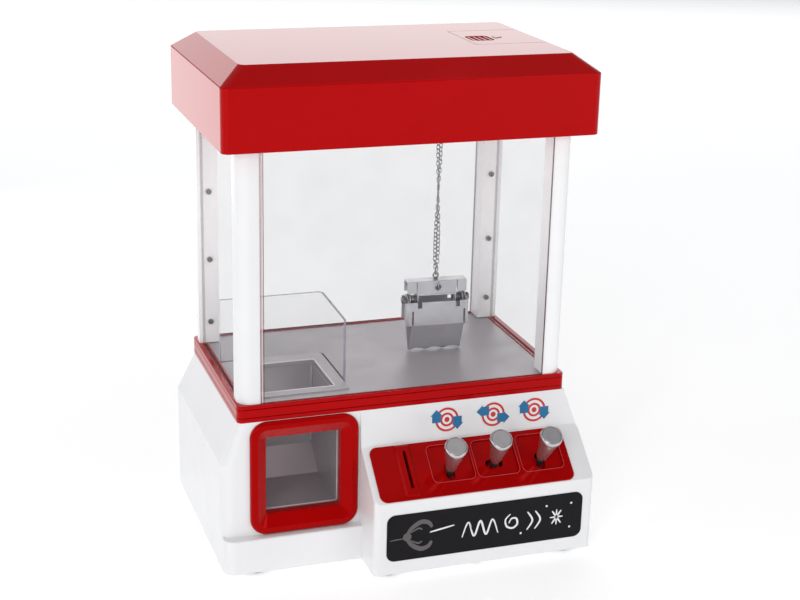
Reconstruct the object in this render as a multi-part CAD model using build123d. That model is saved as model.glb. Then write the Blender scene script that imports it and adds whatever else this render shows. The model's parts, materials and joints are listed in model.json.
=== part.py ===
"""Toy claw crane machine: a tabletop candy grabber with a three-lever console.

Units are millimetres.  X runs to the right, Y to the back and Z up.  Everything is drawn
about the middle of the cabinet with the floor at z = 0, and moved by ORIGIN_SHIFT when it is
written, so that the origin is the bottom centre of the whole object's box.
"""
import os
from math import cos, pi, radians, sin, tan

from build123d import *

# ---- driving dimensions --------------------------------------------------------------------
ORIGIN_SHIFT = 16.125        # cabinet centre to the middle of the object's depth

WALL = 2.5                   # moulded wall thickness
BASE_HALF = 130.5            # half width of the base below its flare
BASE_FRONT = -73.0           # main front face
BASE_BACK = 87.0
BASE_Z = 3.0                 # underside of the moulding, above the rubber feet
FLARE_Z = 81.5               # height where the sides start to lean in
BASE_TOP = 112.5
PLINTH_FRONT = -80.0
PLINTH_TOP = 28.2
CORNER_R = 8.0
SOFT_EDGE = 0.6              # rounding of the mouldings' outer edges

RIM_HALF_X = 119.5           # red collar round the deck
RIM_HALF_Y = 73.0
RIM_TOP = 124.5
DECK_TOP = 123.8
DECK_THICK = 2.3

CONSOLE_LEFT = -33.0         # lever console, flush with the base on its right
CONSOLE_FRONT = -109.0
CREASE_Z = 57.0
FOLD_Y = -75.5               # where the sloped face meets the upright face above it
SLOPE_DEG = 40.5
FOLD_Z = CREASE_Z + (FOLD_Y - CONSOLE_FRONT) * tan(radians(SLOPE_DEG))

DOOR = (-100.0, -47.0, 43.0, 100.0)            # prize door opening: x0, x1, z0, z1
DOOR_FRAME = (-111.5, -34.5, 28.5, 112.3)
CHUTE = (-98.0, -45.5, -52.0, 2.0)             # hole in the deck: x0, x1, y0, y1
CHUTE_FLANGE = (-102.5, -37.0, -60.0, 14.2)
GUARD_TOP = 171.0

POST_OUT_X = 118.0           # corner posts
POST_OUT_Y = 71.0
POST_SIZE = 15.0
PANEL = 2.0                  # clear sheet thickness
SIDE_SHEET_X = POST_OUT_X - 3.5
FRONT_SHEET_Y = POST_OUT_Y - 0.2
SHEET_FOOT = 122.4           # bottom of the sheets, in the collar's grooves
POST_SCREW_Z = (141.0, 189.0, 240.0)
POST_HOLE_X = 109.5
SCREW_PLACES = [(-124.5, -50), (-124.5, 50), (124.5, 50), (124.5, -50), (45, -103), (-45, 81)]
FOOT_PLACES = [(-107, -68), (-20, -97), (112, -97), (-112, 74), (112, 74)]

ROOF_HALF_X = 130.0
ROOF_HALF_Y = 84.0
ROOF_Z = 300.0
ROOF_EDGE_Z = 342.0
ROOF_TOP = 353.5
ROOF_INSET = 15.2            # how far the roof's bevel comes in
TRAY_TOP = 302.5
WELL = (-84.0, 76.0, -46.0, 48.0)              # travel opening in the roof tray
COVER = (61.5, -24.5, 33.0)  # battery cover: left end and its two sides
COVER_Z = 351.9
CELL_Z = 342.6
CELL_PITCH = 14.6
CELL_R = 7.0

CLAW_X = 46.5                # chain line at rest
CLAW_Y = 1.0
CLAW_TURN = -3.0             # the claw hangs slightly turned on its chain
CLAW_TIP = 124.8
CLAW_PIVOT = 163.5
YOKE_TOP = 178.3
YOKE_SIDE = 4.3              # middle of the yoke's front and rear flanges
YOKE_EDGE = 167.3            # lower edge of its flanges
ARM_X = 13.7                 # inner face of the yoke's arms
JAW_HALF = 22.5
JAW_Y = 10.5                 # jaw plates before and behind the pivots
JAW_TOP = 164.0
JAW_CREASE = 147.3           # where a jaw's plate bends into its scoop

MODULE = 1.0                 # all gears
ROD_R = 2.0
RUN_FIT = 0.05               # radial clearance of running fits
DRUM_Z = 325.0
DRUM_PITCH = 5.5             # chain centre line on the drum
PINION_T = 12
SHAFT_Z = 311.5
SHAFT_DY = 22.0              # drive shaft behind the chain line
ROD_DY = 14.0                # trolley rods before and behind the chain line
ROD_Z = 313.0
RACK_DY = -22.5              # trolley rack in front of the chain line
GUIDE_X = 113.5
GUIDE_Z = TRAY_TOP + 6.5
RACK_X = 106.25
TROLLEY_MOTOR_DX = 24.0
DRUM_DX = -DRUM_PITCH
HOIST_MOTOR_DX = DRUM_DX + 10.0
MOTOR_DZ = 12.0              # bridge motor above its shaft

LEVER_X = (27.0, 60.6, 94.0)
LEVER_U = (17.4, 19.3, 17.2)   # along the slope, from the crease
LEVER_LEAN = (-5.5, -5.5, -1.0)   # to the right of the slope's normal at rest, degrees
LEVER_BACK = 6.0             # up the slope at rest, degrees
LEVER_PIVOT = -12.0          # below the console's sloped face
STEM_R = 2.4
KNOB_START = 16.4            # from the pivot to the grip's lower end
KNOB_LENGTH = 29.0
KNOB_R = 8.0
POCKET_X = (27.8, 61.1, 94.9)
POCKET_U = 24.9
POCKET = (31.5, 28.5)
PANEL_MID = (43.75, 21.8)    # centre of the lever plate on the slope
COIN_X = -4.4                # coin slot
DECAL_X = (30.1, 65.0, 96.5)
DECAL_DROP = -13.2           # sticker centres below the top of the upright face
DECAL_R = 9.3
DECAL_BORDER = 0.6
ARROW = [(0, 4.8), (4.5, 0.2), (3.3, 0.2), (3.3, -4.7), (-3.3, -4.7), (-3.3, 0.2), (-4.5, 0.2)]
ARROW_OFFSET = (7.8, 3.0)

SLOPE = Plane(
    origin=(0, CONSOLE_FRONT, CREASE_Z),
    x_dir=(1, 0, 0),
    z_dir=(0, -sin(radians(SLOPE_DEG)), cos(radians(SLOPE_DEG))),
)
UPRIGHT = Plane(
    origin=(0, BASE_FRONT, BASE_TOP),
    x_dir=(1, 0, 0),
    z_dir=(0, -(BASE_TOP - FOLD_Z), BASE_FRONT - FOLD_Y),
)


# ---- helpers -------------------------------------------------------------------------------
def block(x0, x1, y0, y1, z0, z1):
    """Box between two corners."""
    return Pos((x0 + x1) / 2, (y0 + y1) / 2, (z0 + z1) / 2) * Box(x1 - x0, y1 - y0, z1 - z0)


def rounded(x0, x1, y0, y1, z0, z1, r):
    """Upright block with rounded vertical corners."""
    outline = Pos((x0 + x1) / 2, (y0 + y1) / 2, z0) * RectangleRounded(x1 - x0, y1 - y0, r)
    return extrude(outline, z1 - z0)


def outline_at(half_x, y0, y1, z, r):
    return Pos(0, (y0 + y1) / 2, z) * RectangleRounded(2 * half_x, y1 - y0, r)


def rod(x, y, z, r, length, axis):
    """Round bar starting at a point and running along +X, +Y or +Z."""
    turn = {"x": Rot(0, 90, 0), "y": Rot(-90, 0, 0), "z": Rot(0, 0, 0)}[axis]
    return Pos(x, y, z) * turn * extrude(Circle(r), length)


def plate_yz(points, x0, x1):
    """Sheet with an outline in the YZ plane, from x0 to x1."""
    face = make_face(Plane.YZ.offset(x0) * Polyline(*points, close=True))
    return extrude(face, x1 - x0, dir=(1, 0, 0))


def plate_xz(points, y0, y1):
    face = make_face(Plane.XZ.offset(-y0) * Polyline(*points, close=True))
    return extrude(face, y1 - y0, dir=(0, 1, 0))


def gear(teeth, width, bore, turn=0.0):
    """Spur gear along +Z with one tooth at `turn` degrees from +X and generous backlash."""
    pitch_r = MODULE * teeth / 2
    root_r = pitch_r - 1.2 * MODULE
    tip_r = pitch_r + 0.9 * MODULE
    root_half = 0.85 * MODULE / root_r
    tip_half = 0.35 * MODULE / tip_r
    points = []
    for i in range(teeth):
        a = radians(turn) + 2 * pi * i / teeth
        for r, da in ((root_r, -root_half), (tip_r, -tip_half), (tip_r, tip_half), (root_r, root_half)):
            points.append((r * cos(a + da), r * sin(a + da)))
    body = extrude(make_face(Polyline(*points, close=True)), width)
    return body - extrude(Circle(bore), width)


def rack_teeth(start, end, gap_at, base, root):
    """Rack outline along one axis: a tooth gap is centred on gap_at."""
    pitch = pi * MODULE
    tip = root + 1.9 * MODULE
    points = [(start, base), (end, base), (end, root)]
    first = int((start - gap_at) / pitch) - 1
    last = int((end - gap_at) / pitch) + 1
    for i in range(last, first - 1, -1):
        c = gap_at + (i + 0.5) * pitch
        if start + 1.2 < c < end - 1.2:
            points += [(c + 0.75, root), (c + 0.35, tip), (c - 0.35, tip), (c - 0.75, root)]
    return points + [(start, root)]


def motor(length):
    """Flat-sided can motor along +Z from its front face back, with its shaft towards -Z."""
    can = Pos(0, 0, 0) * extrude(RectangleRounded(20, 15, 6.5), length)
    nose = Pos(0, 0, -1.2) * extrude(Circle(3), 1.2)
    tail = Pos(0, 0, length) * extrude(RectangleRounded(15, 11, 4), 1.5)
    shaft = Pos(0, 0, -7.5) * extrude(Circle(1.0), 7.5)
    return can + nose + tail + shaft


def union(parts):
    total = parts[0]
    for p in parts[1:]:
        total = total + p
    return total


def edges_at(shape, z):
    """Edges that lie level at one height."""
    return shape.edges().filter_by_position(Axis.Z, z - 0.05, z + 0.05)


def group(parts):
    """Separate solids kept in one node."""
    return Compound([s for p in parts for s in p.solids()])


# ---- base ----------------------------------------------------------------------------------
def base_body(inset, z0, grow_top=0.0):
    """Outer form of the base, or the same form moved in by `inset` to hollow it."""
    half = BASE_HALF - inset
    front = BASE_FRONT + inset
    back = BASE_BACK - inset
    top_half = RIM_HALF_X - inset
    top_back = RIM_HALF_Y - inset
    r = CORNER_R - inset
    low = rounded(-half, half, front, back, z0, FLARE_Z, r)
    flare = loft([
        outline_at(half, front, back, FLARE_Z, r),
        outline_at(top_half, front, top_back, BASE_TOP, r - 2),
    ])
    plinth = rounded(-half, half, PLINTH_FRONT + inset, back, z0, PLINTH_TOP - inset, r)
    if inset == 0:
        plinth = fillet(edges_at(plinth, PLINTH_TOP), 2 * SOFT_EDGE)
    drop = inset / cos(radians(SLOPE_DEG))
    profile = [
        (-20, z0), (CONSOLE_FRONT + inset, z0), (CONSOLE_FRONT + inset, CREASE_Z - drop * 0.4),
        (FOLD_Y + inset, FOLD_Z - drop * 0.6), (BASE_FRONT + inset, BASE_TOP), (-20, BASE_TOP),
    ]
    console = plate_yz(profile, CONSOLE_LEFT + inset, half)
    if inset == 0:
        front_edges = console.edges().filter_by(Axis.Z).filter_by_position(
            Axis.Y, CONSOLE_FRONT - 1, CONSOLE_FRONT + 1)
        console = fillet(front_edges, 4.0)
        crease = console.edges().filter_by(Axis.X).filter_by_position(Axis.Z, CREASE_Z - 1, CREASE_Z + 1)
        console = fillet(crease, 2 * SOFT_EDGE)
    wedge = plate_xz([(half, FLARE_Z), (top_half, BASE_TOP), (half + 5, BASE_TOP + 1), (half + 5, FLARE_Z)],
                     CONSOLE_FRONT - 5, 0)
    body = low + flare + plinth + (console - wedge)
    if grow_top:
        body = body + block(-top_half, top_half, front, top_back, BASE_TOP - 0.5, BASE_TOP + grow_top)
    return body


def base_shell():
    shell = base_body(0, BASE_Z) - base_body(WALL, BASE_Z - 1, 2)
    x0, x1, z0, z1 = DOOR_FRAME
    door = Plane.XZ.offset(-BASE_FRONT + 10) * Pos((x0 + x1) / 2, (z0 + z1) / 2) \
        * RectangleRounded(x1 - x0 - 4, z1 - z0 - 4, 10)
    shell = shell - extrude(door, 20, dir=(0, 1, 0))
    window = SLOPE.location * Pos(*PANEL_MID, -8) * extrude(RectangleRounded(140.5, 38, 4), 12)
    shell = shell - window
    shell = shell - block(-20.5, 20.5, BASE_BACK - 6, BASE_BACK + 2, 8.5, 34.5)
    for i in range(6):
        shell = shell - block(45 + 9 * i, 49 + 9 * i, BASE_BACK - 6, BASE_BACK + 2, 40, 70)
    shell = shell - block(-66, -54, BASE_BACK - 6, BASE_BACK + 2, 47, 53)
    for x, y in SCREW_PLACES:
        boss = rod(x, y, BASE_Z + 2.9, 4.4, 16, "z") - rod(x, y, BASE_Z + 2, 1.5, 11.6, "z")
        shell = shell + (boss & base_body(WALL - 0.5, 0))
    return shell


def base_plate():
    """Bottom cover inside the shell, with standoffs for the main board."""
    gap = WALL + 0.4
    cover = rounded(-BASE_HALF + gap, BASE_HALF - gap, PLINTH_FRONT + gap, BASE_BACK - gap,
                    BASE_Z + 0.3, BASE_Z + 2.8, CORNER_R - gap)
    cover = cover + block(CONSOLE_LEFT + gap, BASE_HALF - gap, CONSOLE_FRONT + gap, PLINTH_FRONT + 10,
                          BASE_Z + 0.3, BASE_Z + 2.8)
    for x in (52, 112):
        for y in (-18, 26):
            cover = cover + rod(x, y, BASE_Z + 2.8, 3, 6.2, "z")
    holes = [rod(x, y, 0, 1.7, 10, "z") + rod(x, y, 0, 3.1, BASE_Z + 1.8, "z") for x, y in SCREW_PLACES]
    return cover - union(holes)


def rubber_feet():
    feet = []
    for x, y in FOOT_PLACES:
        pad = rod(x, y, 0, 8, BASE_Z + 0.3, "z")
        feet.append(chamfer(pad.edges().group_by(Axis.Z)[0], 0.8))
    return group(feet)


def deck_rim():
    """Red collar: ledge for the deck inside, grooves for the clear sheets on top."""
    outer = rounded(-RIM_HALF_X, RIM_HALF_X, -RIM_HALF_Y, RIM_HALF_Y, BASE_TOP, RIM_TOP, 4)
    step = outer - rounded(-RIM_HALF_X + 0.8, RIM_HALF_X - 0.8, -RIM_HALF_Y + 0.8, RIM_HALF_Y - 0.8,
                           BASE_TOP, RIM_TOP, 3.2)
    bands = block(-125, 125, -80, 80, 121.4, 122.0) + block(-125, 125, -80, 80, 115.4, 116.0)
    outer = outer - (step & bands)
    outer = outer - rounded(-112, 112, -69, 69, DECK_TOP - DECK_THICK, RIM_TOP + 1, 9)
    outer = outer - rounded(-108, 108, -65.5, 65.5, BASE_TOP - 1, RIM_TOP, 7)
    for s in (-1, 1):
        x = s * SIDE_SHEET_X
        y = s * FRONT_SHEET_Y
        outer = outer - block(x - 1.2, x + 1.2, -55.9, 55.9, 122.2, RIM_TOP + 1)
        outer = outer - block(-102.8, 102.8, y - 1.2, y + 1.2, 122.2, RIM_TOP + 1)
    top = edges_at(outer, RIM_TOP)
    outline = [e for e in top if abs(e.center().X) > RIM_HALF_X - 3 or abs(e.center().Y) > RIM_HALF_Y - 0.1]
    return fillet(outline, SOFT_EDGE)


def deck_tray():
    """Silver play deck with the prize hole and its raised flange."""
    x0, x1, y0, y1 = CHUTE
    fx0, fx1, fy0, fy1 = CHUTE_FLANGE
    deck = rounded(-111.7, 111.7, -68.7, 68.7, DECK_TOP - DECK_THICK + 0.05, DECK_TOP, 8.7)
    flange = rounded(fx0, fx1, fy0, fy1, DECK_TOP, DECK_TOP + 0.7, 2)
    return deck + flange - rounded(x0, x1, y0, y1, 110, 130, 1.5)


def prize_chute():
    """Drop shaft under the deck and the pick-up pocket behind the door."""
    x0, x1, z0, z1 = DOOR
    body = block(x0 - 1.5, x1 + 1.5, -65.3, 4, z0 - 3, DECK_TOP - DECK_THICK - 0.1)
    shaft = block(x0 + 0.5, x1 - 0.0, CHUTE[2], CHUTE[3], z0, DECK_TOP)
    pocket = block(x0 + 0.5, x1 - 0.0, -70, -10, z0, z1)
    ramp = plate_yz([(-16, z0), (CHUTE[3] + 0.5, z0), (CHUTE[3] + 0.5, z0 + 17)], x0 + 0.2, x1 + 0.2)
    return body - shaft - pocket + ramp


def chute_guard():
    """Clear angle round the prize hole."""
    side = plate_yz([(-43.5, DECK_TOP), (16, DECK_TOP), (16, GUARD_TOP), (-43.5, GUARD_TOP - 2)], -37.0, -35.2)
    back = block(-111.4, -35.2, 14.2, 16, DECK_TOP, GUARD_TOP)
    return side + back


def door_frame():
    """Red bezel: a bead outside, a slope in to the opening and a sleeve behind."""
    ox0, ox1, oz0, oz1 = DOOR_FRAME
    x0, x1, z0, z1 = DOOR
    cx, cz = (ox0 + ox1) / 2, (oz0 + oz1) / 2
    front_y, back_y = -76.2, BASE_FRONT - 0.05

    def face(y, w, h, r):
        return Plane.XZ.offset(-y) * Pos(cx, cz) * RectangleRounded(w, h, r)

    w, h = ox1 - ox0, oz1 - oz0
    plate = extrude(face(back_y, w, h, 12), -(front_y - back_y), dir=(0, -1, 0))
    plate = fillet(plate.faces().sort_by(Axis.Y)[0].outer_wire().edges(), 2.4)
    iw, ih = x1 - x0, z1 - z0
    opening = Plane.XZ.offset(80) * Pos((x0 + x1) / 2, (z0 + z1) / 2) * RectangleRounded(iw, ih, 1.2)
    slope = loft([face(front_y - 0.4, w - 9, h - 9, 8),
                  Plane.XZ.offset(72.4) * Pos((x0 + x1) / 2, (z0 + z1) / 2) * RectangleRounded(iw, ih, 1.2)])
    sleeve = extrude(Plane.XZ.offset(-back_y) * Pos((x0 + x1) / 2, (z0 + z1) / 2)
                     * RectangleRounded(iw + 8, ih + 8, 4), 7.2, dir=(0, 1, 0))
    return plate + sleeve - slope - extrude(opening, 30, dir=(0, 1, 0))


# ---- console -------------------------------------------------------------------------------
def on_slope(shape):
    return SLOPE.location * shape


def control_panel():
    """Red lever plate with a raised coin strip and three pockets."""
    plate = Pos(*PANEL_MID, 0) * extrude(RectangleRounded(144.5, 42, 5.5), 1.2)
    plate = fillet(edges_at(plate, 1.2), SOFT_EDGE)
    skirt = Pos(*PANEL_MID, -2) * extrude(RectangleRounded(139.9, 37.4, 3.7), 2)
    strip = Pos(-5, 22.5, 0) * extrude(RectangleRounded(11, 39.5, 1.6), 2.6)
    strip = chamfer(edges_at(strip, 2.6), 2 * SOFT_EDGE)
    panel = plate + skirt + strip
    for i in range(3):
        panel = panel - Pos(POCKET_X[i], POCKET_U, -0.3) * extrude(RectangleRounded(*POCKET, 4), 4)
        slot = RectangleRounded(12.8, 6.4, 3.1) if i == 1 else RectangleRounded(6.4, 12.8, 3.1)
        x = LEVER_X[i] - LEVER_PIVOT * tan(radians(LEVER_LEAN[i]))
        u = LEVER_U[i] - LEVER_PIVOT * tan(radians(LEVER_BACK))
        panel = panel - Pos(x, u, -4) * extrude(slot, 8)
    panel = panel - Pos(COIN_X, 22.7, -4) * Box(2.2, 28.5, 16)
    return on_slope(panel)


def lever_bracket():
    """One moulded carrier per lever: a frame under the plate and two ears for the cross pin."""
    carriers = []
    for i in range(3):
        frame = Pos(0, 0, -3.1) * (Box(18, 20, 2.2) - Box(14, 15, 4))
        ears = union([Pos(s * 8, 0, -10.4) * Box(2, 12, 14) for s in (-1, 1)])
        holes = Pos(-12, 0, LEVER_PIVOT) * Rot(0, 90, 0) * extrude(Circle(1.5 + RUN_FIT), 24)
        carriers.append(at_lever(i) * (frame + ears - holes))
    return group(carriers)


def control_board():
    """Circuit board under the levers with a pair of tact switches for each."""
    board = Pos(61, 20, -30.4) * Box(94, 34, 1.6)
    switches = []
    for i in range(3):
        for s in (-1, 1):
            dx, dy = (6.5 * s, 0) if i == 1 else (0, 6.5 * s)
            switches.append(Pos(LEVER_X[i] + dx, LEVER_U[i] + dy, -27.6) * Box(5, 5, 4))
    return on_slope(union([board] + switches))


def at_lever(i):
    """Slope frame at a lever, turned so that its cross pin lies along the frame's X."""
    return SLOPE.location * Pos(LEVER_X[i], LEVER_U[i], 0) * Rot(0, 0, 90 if i == 1 else 0)


def lever_axis(i):
    """Frame at a lever's pivot with Z along the stem at rest."""
    place = SLOPE.location * Pos(LEVER_X[i], LEVER_U[i], LEVER_PIVOT)
    return place * Rot(-LEVER_BACK, 0, 0) * Rot(0, LEVER_LEAN[i], 0)


def lever_stem(i):
    """Stem with its cross pin and the bar foot that rocks onto the switches."""
    pin = Pos(-9.4, 0, LEVER_PIVOT) * Rot(0, 90, 0) * extrude(Circle(1.5), 18.8)
    hub = Pos(0, 0, LEVER_PIVOT) * Sphere(4.2)
    leg = Pos(0, 0, LEVER_PIVOT - 10) * extrude(Circle(2), 10)
    foot = Pos(0, 0, LEVER_PIVOT - 10.6) * Box(4, 15, 1.4)
    return at_lever(i) * (pin + hub + leg + foot) + lever_axis(i) * extrude(Circle(STEM_R), KNOB_START + 7.2)


def lever_knob(i):
    """Tapered silver grip with a dished cap."""
    height = KNOB_LENGTH
    profile = [(0, 0), (3.3, 0), (3.9, 1.0), (7.5, height - 4.6), (KNOB_R, height - 3.6),
               (KNOB_R, height - 1.2), (KNOB_R - 0.5, height - 0.3), (KNOB_R - 1, height), (0, height - 0.6)]
    body = revolve(make_face(Plane.XZ * Polyline(*profile, close=True)), Axis.Z, 360)
    body = body - Pos(0, 0, -1) * extrude(Circle(STEM_R), 8.2)
    return lever_axis(i) * Pos(0, 0, KNOB_START) * body


def coin_guide():
    """Narrow runway that carries a coin on edge from the slot to the drawer."""
    runway = plate_yz([(-98, 52), (-72, 76), (12, 49), (12, 38), (-72, 44)], -8.4, -0.4)
    runway = runway - plate_yz([(-95, 54), (-73, 73.4), (16, 45.6), (16, 40), (-72, 47)], -6.4, -2.4)
    mouth = plate_yz([(-102, 57), (-70, 84), (-66, 84), (-66, 60), (-94, 45)], -6.2, -2.6)
    return runway - mouth


def coin_drawer():
    """Coin tray that pulls out at the back."""
    tray = block(-19.5, 19.5, 12, BASE_BACK - 3, 10, 33)
    tray = tray - block(-17.8, 17.8, 13.7, BASE_BACK - 4.7, 11.7, 40)
    face = block(-20, 20, BASE_BACK - 3, BASE_BACK - 0.1, 9, 34)
    grip = rod(-8, BASE_BACK - 1.2, 24, 3.2, 16, "x")
    return tray + face - (grip & block(-10, 10, BASE_BACK - 1.4, BASE_BACK + 4, 15, 30))


def console_label():
    """Dark panel sheet on the console's front."""
    sheet = Plane.XZ.offset(-CONSOLE_FRONT + 0.03) * Pos(48.8, 30.5) * RectangleRounded(146.5, 35, 6)
    return extrude(sheet, 0.35, dir=(0, -1, 0))


def target_decals():
    """A round target with a pair of arrows above each lever."""
    stickers = []
    for i, x in enumerate(DECAL_X):
        shape = Circle(DECAL_R)
        for s in (-1, 1):
            arrow = offset(make_face(Polyline(*ARROW, close=True)), DECAL_BORDER, kind=Kind.INTERSECTION)
            turn = -90 * s if i == 1 else (0 if s < 0 else 180)
            shape = shape + Pos(s * ARROW_OFFSET[0], -s * ARROW_OFFSET[1]) * Rot(0, 0, turn) * arrow
        stickers.append(UPRIGHT.location * Pos(x, DECAL_DROP, 0.03) * extrude(shape, 0.2))
    return group(stickers)


# ---- electrics in the base ------------------------------------------------------------------
def main_board():
    board = block(48, 116, -22, 30, BASE_Z + 9.1, BASE_Z + 10.7)
    top = BASE_Z + 10.7
    chips = [block(60, 78, -8, 2, top, top + 2.2), block(88, 96, 6, 14, top, top + 5),
             block(54, 60, 12, 24, top, top + 6), block(84, 108, -18, -12, top, top + 6)]
    cans = [rod(104, 2, top, 3.2, 9, "z"), rod(104, 18, top, 3.2, 9, "z")]
    return union([board] + chips + cans)


def speaker():
    """Small round speaker behind the grille slots of the back wall."""
    y = BASE_BACK - WALL - 0.2
    rim = rod(69.5, y - 2, 55, 25, 2, "y")
    cone = Pos(69.5, y - 2, 55) * Rot(90, 0, 0) * Cone(22, 12, 8, align=(Align.CENTER, Align.CENTER, Align.MIN))
    magnet = rod(69.5, y - 17, 55, 14, 7, "y")
    return rim + cone + magnet


def switch_housing():
    y = BASE_BACK - WALL - 0.2
    box = block(-69, -51, y - 9, y, 43, 57)
    return box - block(-65.6, -54.4, y - 6, y + 1, 47.4, 52.6)


def power_switch():
    """Slide button of the on/off switch, 5 mm of travel."""
    y = BASE_BACK - WALL - 0.2
    foot = block(-65.3, -59.7, y - 5.7, y - 0.6, 47.7, 52.3)
    stem = block(-65.0, -60.0, y - 0.6, BASE_BACK + 0.6, 48.0, 52.0)
    ribs = [block(-64.2 + 1.4 * i, -63.6 + 1.4 * i, BASE_BACK + 0.3, BASE_BACK + 0.8, 47.9, 52.1) for i in range(3)]
    return foot + stem - union(ribs)


# ---- cabinet -------------------------------------------------------------------------------
def post(sx, sy):
    """Corner post, rounded on its outer corner."""
    x0, x1 = sorted((sx * POST_OUT_X, sx * (POST_OUT_X - POST_SIZE)))
    y0, y1 = sorted((sy * POST_OUT_Y, sy * (POST_OUT_Y - POST_SIZE)))
    body = block(x0, x1, y0, y1, RIM_TOP, ROOF_Z)
    edges = body.edges().filter_by(Axis.Z)
    outer = edges.sort_by(lambda e: -(e.center().X * sx + e.center().Y * sy))[0]
    body = fillet(outer, 9.0)
    xs = POST_HOLE_X * sx
    inner_y = sy * (POST_OUT_Y - POST_SIZE)
    for z in POST_SCREW_Z:
        start = min(inner_y, inner_y + sy * 9)
        body = body - rod(xs, start, z, 1.4, 9, "y")
    return body


def base_screw(x, y):
    """Countersunk screw up through the bottom cover."""
    shank = rod(x, y, BASE_Z + 1.4, 1.5, 12, "z")
    head = rod(x, y, BASE_Z + 0.5, 2.9, 1.3, "z")
    return shank + head - Pos(x, y, BASE_Z + 0.5) * (Box(0.8, 4, 1.4) + Box(4, 0.8, 1.4))


def post_screw(sx, sy, z):
    """Pan-head screw in a post's inner face."""
    inner = sy * (POST_OUT_Y - POST_SIZE)
    shank = rod(sx * POST_HOLE_X, min(inner, inner + sy * 8.5), z, 1.4, 8.5, "y")
    head = rod(sx * POST_HOLE_X, min(inner, inner - sy * 1.6), z, 2.0, 1.6, "y")
    slot = Pos(sx * POST_HOLE_X, inner - sy * 1.6, z) * (Box(0.6, 1.6, 2.6) + Box(2.6, 1.6, 0.6))
    return shank + head - slot


def case_screws():
    """Six screws that close the base and three to a post."""
    screws = [base_screw(x, y) for x, y in SCREW_PLACES]
    for sx in (-1, 1):
        for sy in (-1, 1):
            screws += [post_screw(sx, sy, z) for z in POST_SCREW_Z]
    return group(screws)


def clear_sheet_x(s):
    """Side window."""
    x = s * SIDE_SHEET_X
    half = POST_OUT_Y - POST_SIZE - 0.4
    return block(x - PANEL / 2, x + PANEL / 2, -half, half, SHEET_FOOT, ROOF_Z - 0.2)


def clear_sheet_y(s):
    """Front or back window."""
    y = s * FRONT_SHEET_Y
    half = POST_OUT_X - POST_SIZE - 0.4
    return block(-half, half, y - PANEL / 2, y + PANEL / 2, SHEET_FOOT, ROOF_Z - 0.2)


# ---- roof ----------------------------------------------------------------------------------
def roof_form(inset, z0):
    hx, hy = ROOF_HALF_X - inset, ROOF_HALF_Y - inset
    r = 5.0 - inset * 0.8
    band = rounded(-hx, hx, -hy, hy, z0, ROOF_EDGE_Z - inset * 0.35, r)
    top_in = ROOF_INSET + inset * 0.3
    cap = loft([
        outline_at(hx, -hy, hy, ROOF_EDGE_Z - inset * 0.35, r),
        outline_at(hx - top_in + inset * 0.3, -hy + top_in - inset * 0.3, hy - top_in + inset * 0.3,
                   ROOF_TOP - inset, r),
    ])
    form = band + cap
    if inset == 0:
        for z, radius in ((ROOF_EDGE_Z, 2 * SOFT_EDGE), (ROOF_TOP, SOFT_EDGE), (ROOF_Z, SOFT_EDGE)):
            form = fillet(edges_at(form, z), radius)
    return form


def roof_shell():
    shell = roof_form(0, ROOF_Z) - roof_form(WALL, ROOF_Z - 1)
    left, y0, y1 = COVER
    shell = shell - block(left, ROOF_HALF_X, y0, y1, COVER_Z, ROOF_TOP + 2)
    return shell - block(left + 1.2, 112.0, y0 + 1.2, y1 - 1.2, ROOF_TOP - 6, ROOF_TOP + 2)


def battery_cover():
    """Sliding cover with a ribbed thumb recess and a small raised arrow."""
    left, y0, y1 = COVER
    gap = 0.3
    cover = roof_form(0, ROOF_Z) & block(left + gap, ROOF_HALF_X, y0 + gap, y1 - gap, COVER_Z + 0.15, ROOF_TOP + 2)
    recess = Pos(73.5, 0, ROOF_TOP - 0.8) * extrude(RectangleRounded(17, 20, 4), 3)
    cover = cover - recess
    for i in range(4):
        cover = cover + block(67 + 4 * i, 68.2 + 4 * i, -8, 8, COVER_Z + 0.5, ROOF_TOP - 0.2)
    arrow = extrude(Pos(88, 2, ROOF_TOP - 0.1) * make_face(Polyline((-3, 3.5), (3, 0), (-3, -3.5), close=True)), 0.4)
    return cover + arrow


def roof_tray():
    """Underside of the roof: travel opening and moulded seats for the guide rods."""
    tray = rounded(-ROOF_HALF_X + 3.1, ROOF_HALF_X - 3.1, -ROOF_HALF_Y + 3.1, ROOF_HALF_Y - 3.1,
                   ROOF_Z + 0.02, TRAY_TOP, 2.5)
    for sx in (-1, 1):
        for sy in (-1, 1):
            y0, y1 = sorted((sy * 74, sy * 79.5))
            x = sx * GUIDE_X
            tray = tray + block(x - 5, x + 5, y0, y1, TRAY_TOP, TRAY_TOP + 11)
    tray = tray - rounded(*WELL, ROOF_Z - 1, TRAY_TOP + 1, 5)
    for sx in (-1, 1):
        tray = tray - rod(sx * GUIDE_X, -79, GUIDE_Z, ROD_R, 158, "y")
    return tray


def battery_box():
    box = block(59.0, 112.5, -26.5, 35.0, 334.6, 350.4)
    for i in range(4):
        box = box - rod(60.3, cell_y(i), CELL_Z, CELL_R + 0.25, 51.0, "x")
    return box - block(60.3, 111.3, cell_y(0) - CELL_R - 0.25, cell_y(3) + CELL_R + 0.25, CELL_Z, 352)


def cell_y(i):
    return (COVER[1] + COVER[2]) / 2 + CELL_PITCH * (i - 1.5)


def batteries():
    """Four cells side by side, with a steel cap at alternate ends."""
    cells = []
    for i in range(4):
        body = rod(60.9, cell_y(i), CELL_Z, CELL_R, 48.5, "x")
        nub_x = 109.4 if i % 2 else 60.4
        cells.append(body + rod(nub_x - 0.1, cell_y(i), CELL_Z, 2.7, 1.5 if i % 2 else 0.7, "x"))
    return group(cells)


# ---- bridge: travels front to back ----------------------------------------------------------
def guide_rods():
    return group([rod(s * GUIDE_X, -78.9, GUIDE_Z, ROD_R, 157.8, "y") for s in (-1, 1)])


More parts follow.
